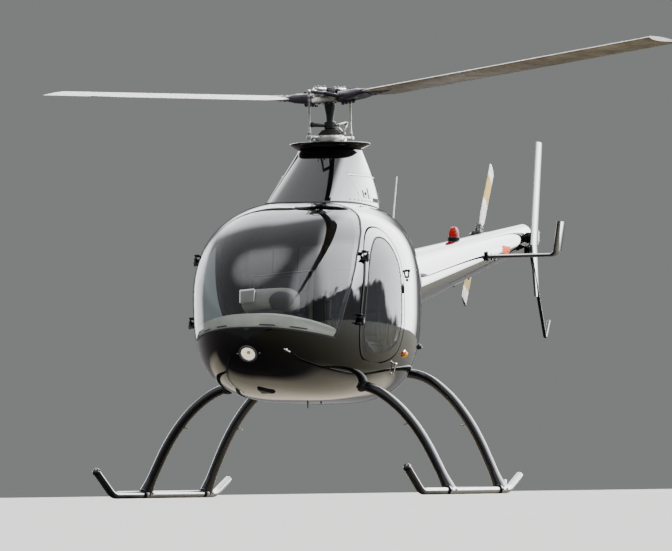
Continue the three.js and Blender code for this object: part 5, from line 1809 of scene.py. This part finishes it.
def make_mast():
    r = MAST_RADIUS
    rows = [(r, 1.840), (r, 2.160), (0.034, 2.165), (0.036, 2.168), (0.036, 2.204), (0.034, 2.207)]
    rows += [(r, 2.213), (r, 2.235), (0.025, 2.255), (0.029, 2.278), (0.034, 2.296), (0.034, 2.314)]
    rows += [(0.030, 2.320), (0.025, 2.324), (0.025, 2.364)]
    parts = [lathe(rows), block((0.050, 0.050, 0.048), (0, 0, TEETER_Z), edge=0.004)]
    parts.append(rod((0, -0.100, TEETER_Z), (0, 0.100, TEETER_Z), 0.011))
    parts.append(block((0.024, 0.110, 0.021), (0, -0.075, 2.187), edge=0.004))
    parts.append(rod((0, -0.118, 2.174), (0, -0.118, 2.203), 0.009))
    for angle in range(30, 390, 60):
        turn = Matrix.Rotation(math.radians(angle), 4, "Z")
        parts.append(placed(bolt((0.036, 0, 2.186), (1, 0, 0), 0.011, 0.006), turn))
    piece("mast_shaft", parts, "satin", "rotor_mast", ["mast"], place=ON_MAST)

    links = [block((0.022, 0.070, 0.014), (0, 0.073, 2.196), (14, 0, 0), 0.003)]
    links.append(block((0.018, 0.014, 0.062), (0.002, 0.097, 2.168), (-24, 0, 0), 0.003))
    links.append(block((0.018, 0.013, 0.040), (-0.002, 0.070, 2.160), (48, 0, 0), 0.003))
    for y, z in ((0.104, 2.200), (0.086, 2.140), (0.052, 2.190)):
        links.append(rod((-0.019, y, z), (0.019, y, z), 0.006))
        links.append(bolt((0.018, y, z), (1, 0, 0), 0.013, 0.007))
        links.append(bolt((-0.018, y, z), (-1, 0, 0), 0.013, 0.007))
    for side in (1, -1):
        links.append(bolt((0, side * 0.0985, TEETER_Z), (0, side, 0), 0.026, 0.010))
    piece("scissor_links", links, "alloy", "rotor_mast", place=ON_MAST)

    foot = CAP_Z + GAP + 0.0244 + 0.0214
    rows = [(0.0085, foot), (0.0105, foot + 0.004), (0.0105, foot + 0.020), (0.0070, foot + 0.024)]
    rows += [(0.0062, foot + 0.030), (0.0062, 2.340), (0.0085, 2.344), (0.0085, 2.358)]
    rows += [(0.006, 2.362), (0.006, 2.378)]
    eye_rows = [(0, 0.009), (0.2, 0.012), (0.8, 0.012), (1, 0.009)]
    for name, y in (("a", LINK_OFFSET), ("b", -LINK_OFFSET)):
        parts = [lathe(rows, (0, y), 24)]
        parts.append(turned((0, y - 0.009, TEETER_Z), (0, y + 0.009, TEETER_Z), eye_rows))
        for z in (foot + 0.026, 2.330):
            parts.append(turned((0, y, z), (0, y, z + 0.009), [(0, 0.0098), (1, 0.0098)], 6))
        node = [f"pitch_link_{name}"]
        piece(f"pitch_link_rod_{name}", parts, "alloy", "rotor_mast", node, place=ON_MAST)


def make_yoke():
    yoke = solid("yoke_plate", block((0.2992, 0.092, 0.040), (0, 0, HUB_Z), edge=0.007))
    plate = solid("cut", block((0.150, 0.196, 0.012), (0, 0, HUB_Z + 0.024), edge=0.003))
    yoke = combine(yoke, plate, "UNION")
    window = solid("cut", block((0.084, 0.062, 0.200), (0, 0, HUB_Z), edge=0))
    yoke = combine(yoke, window, "DIFFERENCE")
    yoke.data.transform(ON_HEAD)
    dressed(soften(yoke), "alloy", "rotor_head", ["rotor_yoke"])
    parts = []
    for side in (1, -1):
        y = side * 0.066
        parts.append(block((0.062, 0.060, 0.0285), (0, y, TEETER_Z - 0.0195), edge=0.005))
        parts.append(block((0.062, 0.060, 0.0285), (0, y, TEETER_Z + 0.0110), edge=0.005))
        for x, dy in ((0.022, 0.021), (-0.022, 0.021), (0.022, -0.021), (-0.022, -0.021)):
            parts.append(bolt((x, y + dy, TEETER_Z + 0.0250), (0, 0, 1), 0.013, 0.009))
        for x in (0.055, -0.055):
            parts.append(bolt((x, side * 0.083, HUB_Z + 0.030), (0, 0, 1), 0.015, 0.011))
            parts.append(bolt((x, side * 0.083, HUB_Z + 0.018), (0, 0, -1), 0.015, 0.016))
        for x in (0.118, -0.118):
            parts.append(bolt((x, side * 0.026, HUB_Z + 0.020), (0, 0, 1), 0.016, 0.010))
            parts.append(bolt((x, side * 0.026, HUB_Z - 0.020), (0, 0, -1), 0.016, 0.012))
    piece("teeter_bearings", parts, "chrome", "rotor_head", place=ON_HEAD)


def make_grips():
    # Columns: distance from the mast, half width, half height
    sections = [(0.150, 0.033, 0.033), (0.200, 0.036, 0.034), (0.260, 0.042, 0.033), (0.400, 0.050, 0.029)]
    sections += [(0.460, 0.049, 0.021), (0.520, 0.045, 0.0175), (0.735, 0.016, 0.016), (0.758, 0.008, 0.015)]
    _, outwards, aft, across = blade_axes()
    rings = []
    for radius, wide, tall in sections:
        middle = along_blade(radius)
        rings.append([middle + aft * wide * x + across * tall * z for x, z in rounded(40, 0.7)])
    foot, bend = Vector((0.190, -0.020, HUB_Z + 0.006)), Vector((0.150, -0.106, TEETER_Z - 0.016))
    end, eye = Vector((0, -0.114, TEETER_Z)), Vector((0, 0.009, 0))
    dark = [loft(rings), rod(foot, bend, 0.0115), rod(bend, end, 0.010, 0.008)]
    rows = [(0, 0.010), (0.2, 0.0135), (0.8, 0.0135), (1, 0.010)]
    bright = [turned(end + eye, end - Vector((0, 0.006, 0)), rows)]
    bright.append(bolt(end + eye, (0, 1, 0), 0.014, 0.010))
    bright.append(block((0.022, 0.016, 0.018), end + Vector((0.018, 0.004, 0)), edge=0.003))
    for radius in (0.178, 0.222, 0.266, 0.310):
        centre = along_blade(radius)
        dark.append(rod(centre, centre - across * 0.040, 0.0085))
        dark.append(bolt(centre - across * 0.031, -across, 0.022, 0.017))
        dark.append(bolt(centre + across * 0.032, across, 0.020, 0.009))
    for radius, behind in ((0.470, 0.026), (0.470, -0.026), (0.550, 0.018), (0.550, -0.018), (0.650, 0.0)):
        for up in (across, -across):
            dark.append(rivet(along_blade(radius, behind) + up * 0.016, up, 0.009, 0.55))
    for name, turn in (("a", Matrix()), ("b", HALF_TURN)):
        place = ON_HEAD @ turn
        piece(f"grip_{name}", dark, "grip", "rotor_head", [f"blade_grip_{name}"], place=place)
        piece(f"pitch_horn_{name}", bright, "chrome", "rotor_head", place=place)


def blade_axes():
    """The blade's root, and its directions outwards, back along the chord and up through it."""
    up, down = math.radians(PRECONE), math.radians(-BLADE_PITCH)
    outwards = Vector((math.cos(up), 0, math.sin(up)))
    feather = Quaternion(outwards, down)
    aft = feather @ Vector((0, 1, 0))
    across = feather @ (Quaternion((0, 1, 0), -up) @ Vector((0, 0, 1)))
    return Vector((0, 0, HUB_Z)), outwards, aft, across


def along_blade(radius, behind=0.0):
    root, outwards, aft, _ = blade_axes()
    return root + outwards * radius + aft * behind


def make_blades():
    _, _, aft, across = blade_axes()
    # Columns: distance from the mast, share of the chord
    stations = [(0.435, 0.62), (0.450, 0.70), (0.560, 0.97), (0.620, 1.0), (1.5, 1.0), (2.5, 1.0)]
    stations += [(ROTOR_RADIUS - 0.012, 1.0), (ROTOR_RADIUS - 0.001, 0.9)]
    rows = [(along_blade(r, -BLADE_CHORD * 0.28 * share), BLADE_CHORD * share) for r, share in stations]
    blade = foil(rows, BLADE_THICKNESS, aft, across)
    tab = block((0.300, 0.030, 0.0016), (0, 0, 0), edge=0)
    tab_place = Matrix.Translation(along_blade(2.9, BLADE_CHORD * 0.72 - 0.012))
    tab = placed(tab, tab_place @ Matrix.Rotation(-0.05, 4, "Y"))
    for name, turn in (("a", Matrix()), ("b", HALF_TURN)):
        place = ON_HEAD @ turn
        made = solid(f"blade_{name}_skin", placed(blade, place), 40)
        dressed(made, "white", "rotor_head", [f"rotor_blade_{name}"])
        # Painted shade: faces that look down take the dark brown underside colour
        made.data.materials.append(M["underside_shade"])
        for polygon in made.data.polygons:
            polygon.material_index = 1 if polygon.normal.z < -0.15 else 0
        piece(f"trim_tab_{name}", [tab], "alloy", "rotor_head", place=place)


for make in (
    make_pod,
    make_seals,
    make_door_fittings,
    make_landing_light,
    make_nose_fittings,
    make_side_fittings,
    make_fairing,
    make_fairing_fittings,
    make_skids,
    make_cross_tubes,
    make_tail,
    make_tail_fittings,
    make_gearbox,
    make_tail_rotor,
    make_floor,
    make_bulkhead,
    make_pedals,
    make_levers,
    make_deck,
    make_panel,
    make_seats,
    make_swashplate,
    make_mast,
    make_yoke,
    make_grips,
    make_blades,
):
    make()

# The other nodes keep their own shapes and take their materials here
KEPT_NODES = {"engine_block": "cast"}
for node, material in KEPT_NODES.items():
    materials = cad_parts[node].data.materials
    materials.clear()
    materials.append(M[material])


# Floor, light and camera


# The plain backdrop that the camera and the glass see, and the even light on matt surfaces
BACKDROP = (0.20, 0.21, 0.205)
DIFFUSE_SKY = 0.62
# What gloss paint mirrors: a sky, its strengths near the horizon and overhead, and brighter clouds in it
SKY_LOW, SKY_HIGH = 0.20, 0.72
# Columns: direction, cosine where a cloud starts, cosine where it is full, strength
LOBES = (
    ((0.62, 0.70, 0.36), 0.72, 0.84, 4.6),
    ((0.86, 0.10, 0.50), 0.74, 0.88, 3.0),
    ((-0.70, 0.71, 0.12), 0.95, 0.985, 2.4),
    ((-0.22, -0.15, 0.96), 0.90, 0.985, 2.6),
    ((-0.25, 0.83, 0.50), 0.93, 0.98, 2.4),
)
# Trees, higher to the left: the way up out of them, where they are dark, where they end, and their crowns
TREES_UP, TREES_DARK, TREES_END, TREE_CROWNS = (-0.30, 0.0, 1.0), -0.26, -0.22, -0.24


def make_world():
    n = Nodes("studio", bpy.data.worlds, "Generated")
    bpy.context.scene.world = n.owner

    def toward(direction):
        """How far the place in the sky lies along a direction."""
        node = n.add("ShaderNodeVectorMath", operation="DOT_PRODUCT")
        n.link(n.place, node.inputs[0])
        node.inputs[1].default_value = direction
        return node.outputs["Value"]

    def glow(colour, strength):
        node = n.add("ShaderNodeBackground")
        node.inputs["Color"].default_value = (*colour, 1.0)
        n.link(strength, node.inputs["Strength"])
        return node.outputs["Background"]

    total = n.steps(n.axis("Z"), 0.16, 0.34, SKY_LOW, SKY_HIGH, "SMOOTHSTEP")
    for direction, start, full, strength in LOBES:
        cloud = n.steps(toward(Vector(direction).normalized()), start, full, 0.0, strength, "SMOOTHSTEP")
        total = n.math("ADD", total, cloud)
    crowns = n.math("MULTIPLY", n.noise(9, 2.0, 0.5), TREE_CROWNS)
    trees = n.steps(n.math("ADD", crowns, toward(TREES_UP)), TREES_DARK, TREES_END, 0.04, 1.0, "SMOOTHSTEP")
    shown = glow((0.96, 0.97, 1.0), n.math("MULTIPLY", total, trees))
    seen = n.add("ShaderNodeLightPath").outputs
    plain = n.math("MAXIMUM", seen["Is Camera Ray"], seen["Is Transmission Ray"])
    for share, colour, strength in (
        (seen["Is Diffuse Ray"], (0.95, 0.97, 1.0), DIFFUSE_SKY),
        (plain, BACKDROP, 1.0),
    ):
        shown = n.mixed(share, shown, glow(colour, strength))
    n.link(shown, n.tree.nodes["World Output"].inputs["Surface"])


# Columns: place, size, power
LAMPS = {"key": ((-5.0, -7.0, 8.5), 5.0, 420.0), "fill": ((8.0, -6.0, 5.0), 5.0, 160.0)}
FLOOR_REACH = 60


def make_stage():
    r = FLOOR_REACH
    corners = [(-r, -r, 0), (r, -r, 0), (r, r, 0), (-r, r, 0)]
    floor = mesh_object("floor", corners, [(0, 1, 2, 3)], smooth=None)
    floor.data.materials.append(floor_paper())
    make_world()
    for name, (place, size, power) in LAMPS.items():
        light = bpy.data.lights.new(name, "AREA")
        light.size = size
        light.energy = power
        lamp = bpy.data.objects.new(name, light)
        bpy.context.scene.collection.objects.link(lamp)
        lamp.visible_glossy = False
        lamp.visible_transmission = False
        lamp.location = place
        lamp.rotation_euler = (Vector((0, -1, 1)) - Vector(place)).to_track_quat("-Z", "Y").to_euler()


def make_camera():
    camera = bpy.data.cameras.new("camera")
    made = bpy.data.objects.new("camera", camera)
    bpy.context.scene.collection.objects.link(made)
    azimuth, tilt, roll = (math.radians(a) for a in (CAMERA_AZIMUTH, CAMERA_TILT, CAMERA_ROLL))
    aside, ahead = math.sin(azimuth), math.cos(azimuth)
    made.location = at(CAMERA_DISTANCE * aside, -CAMERA_DISTANCE * ahead, CAMERA_HEIGHT)
    forward = Vector((-aside * math.cos(tilt), ahead * math.cos(tilt), math.sin(tilt)))
    made.rotation_euler = (Quaternion(forward, roll) @ forward.to_track_quat("-Z", "Y")).to_euler()
    camera.sensor_width = 36.0
    camera.lens = 36.0 * PIXELS_PER_METRE * CAMERA_DISTANCE / IMAGE_WIDTH
    camera.shift_x = (IMAGE_WIDTH / 2 - MAST_COLUMN) / IMAGE_WIDTH
    camera.clip_end = 200.0
    bpy.context.scene.camera = made
    bpy.context.scene.view_settings.look = "AgX - Medium High Contrast"


make_stage()
make_camera()
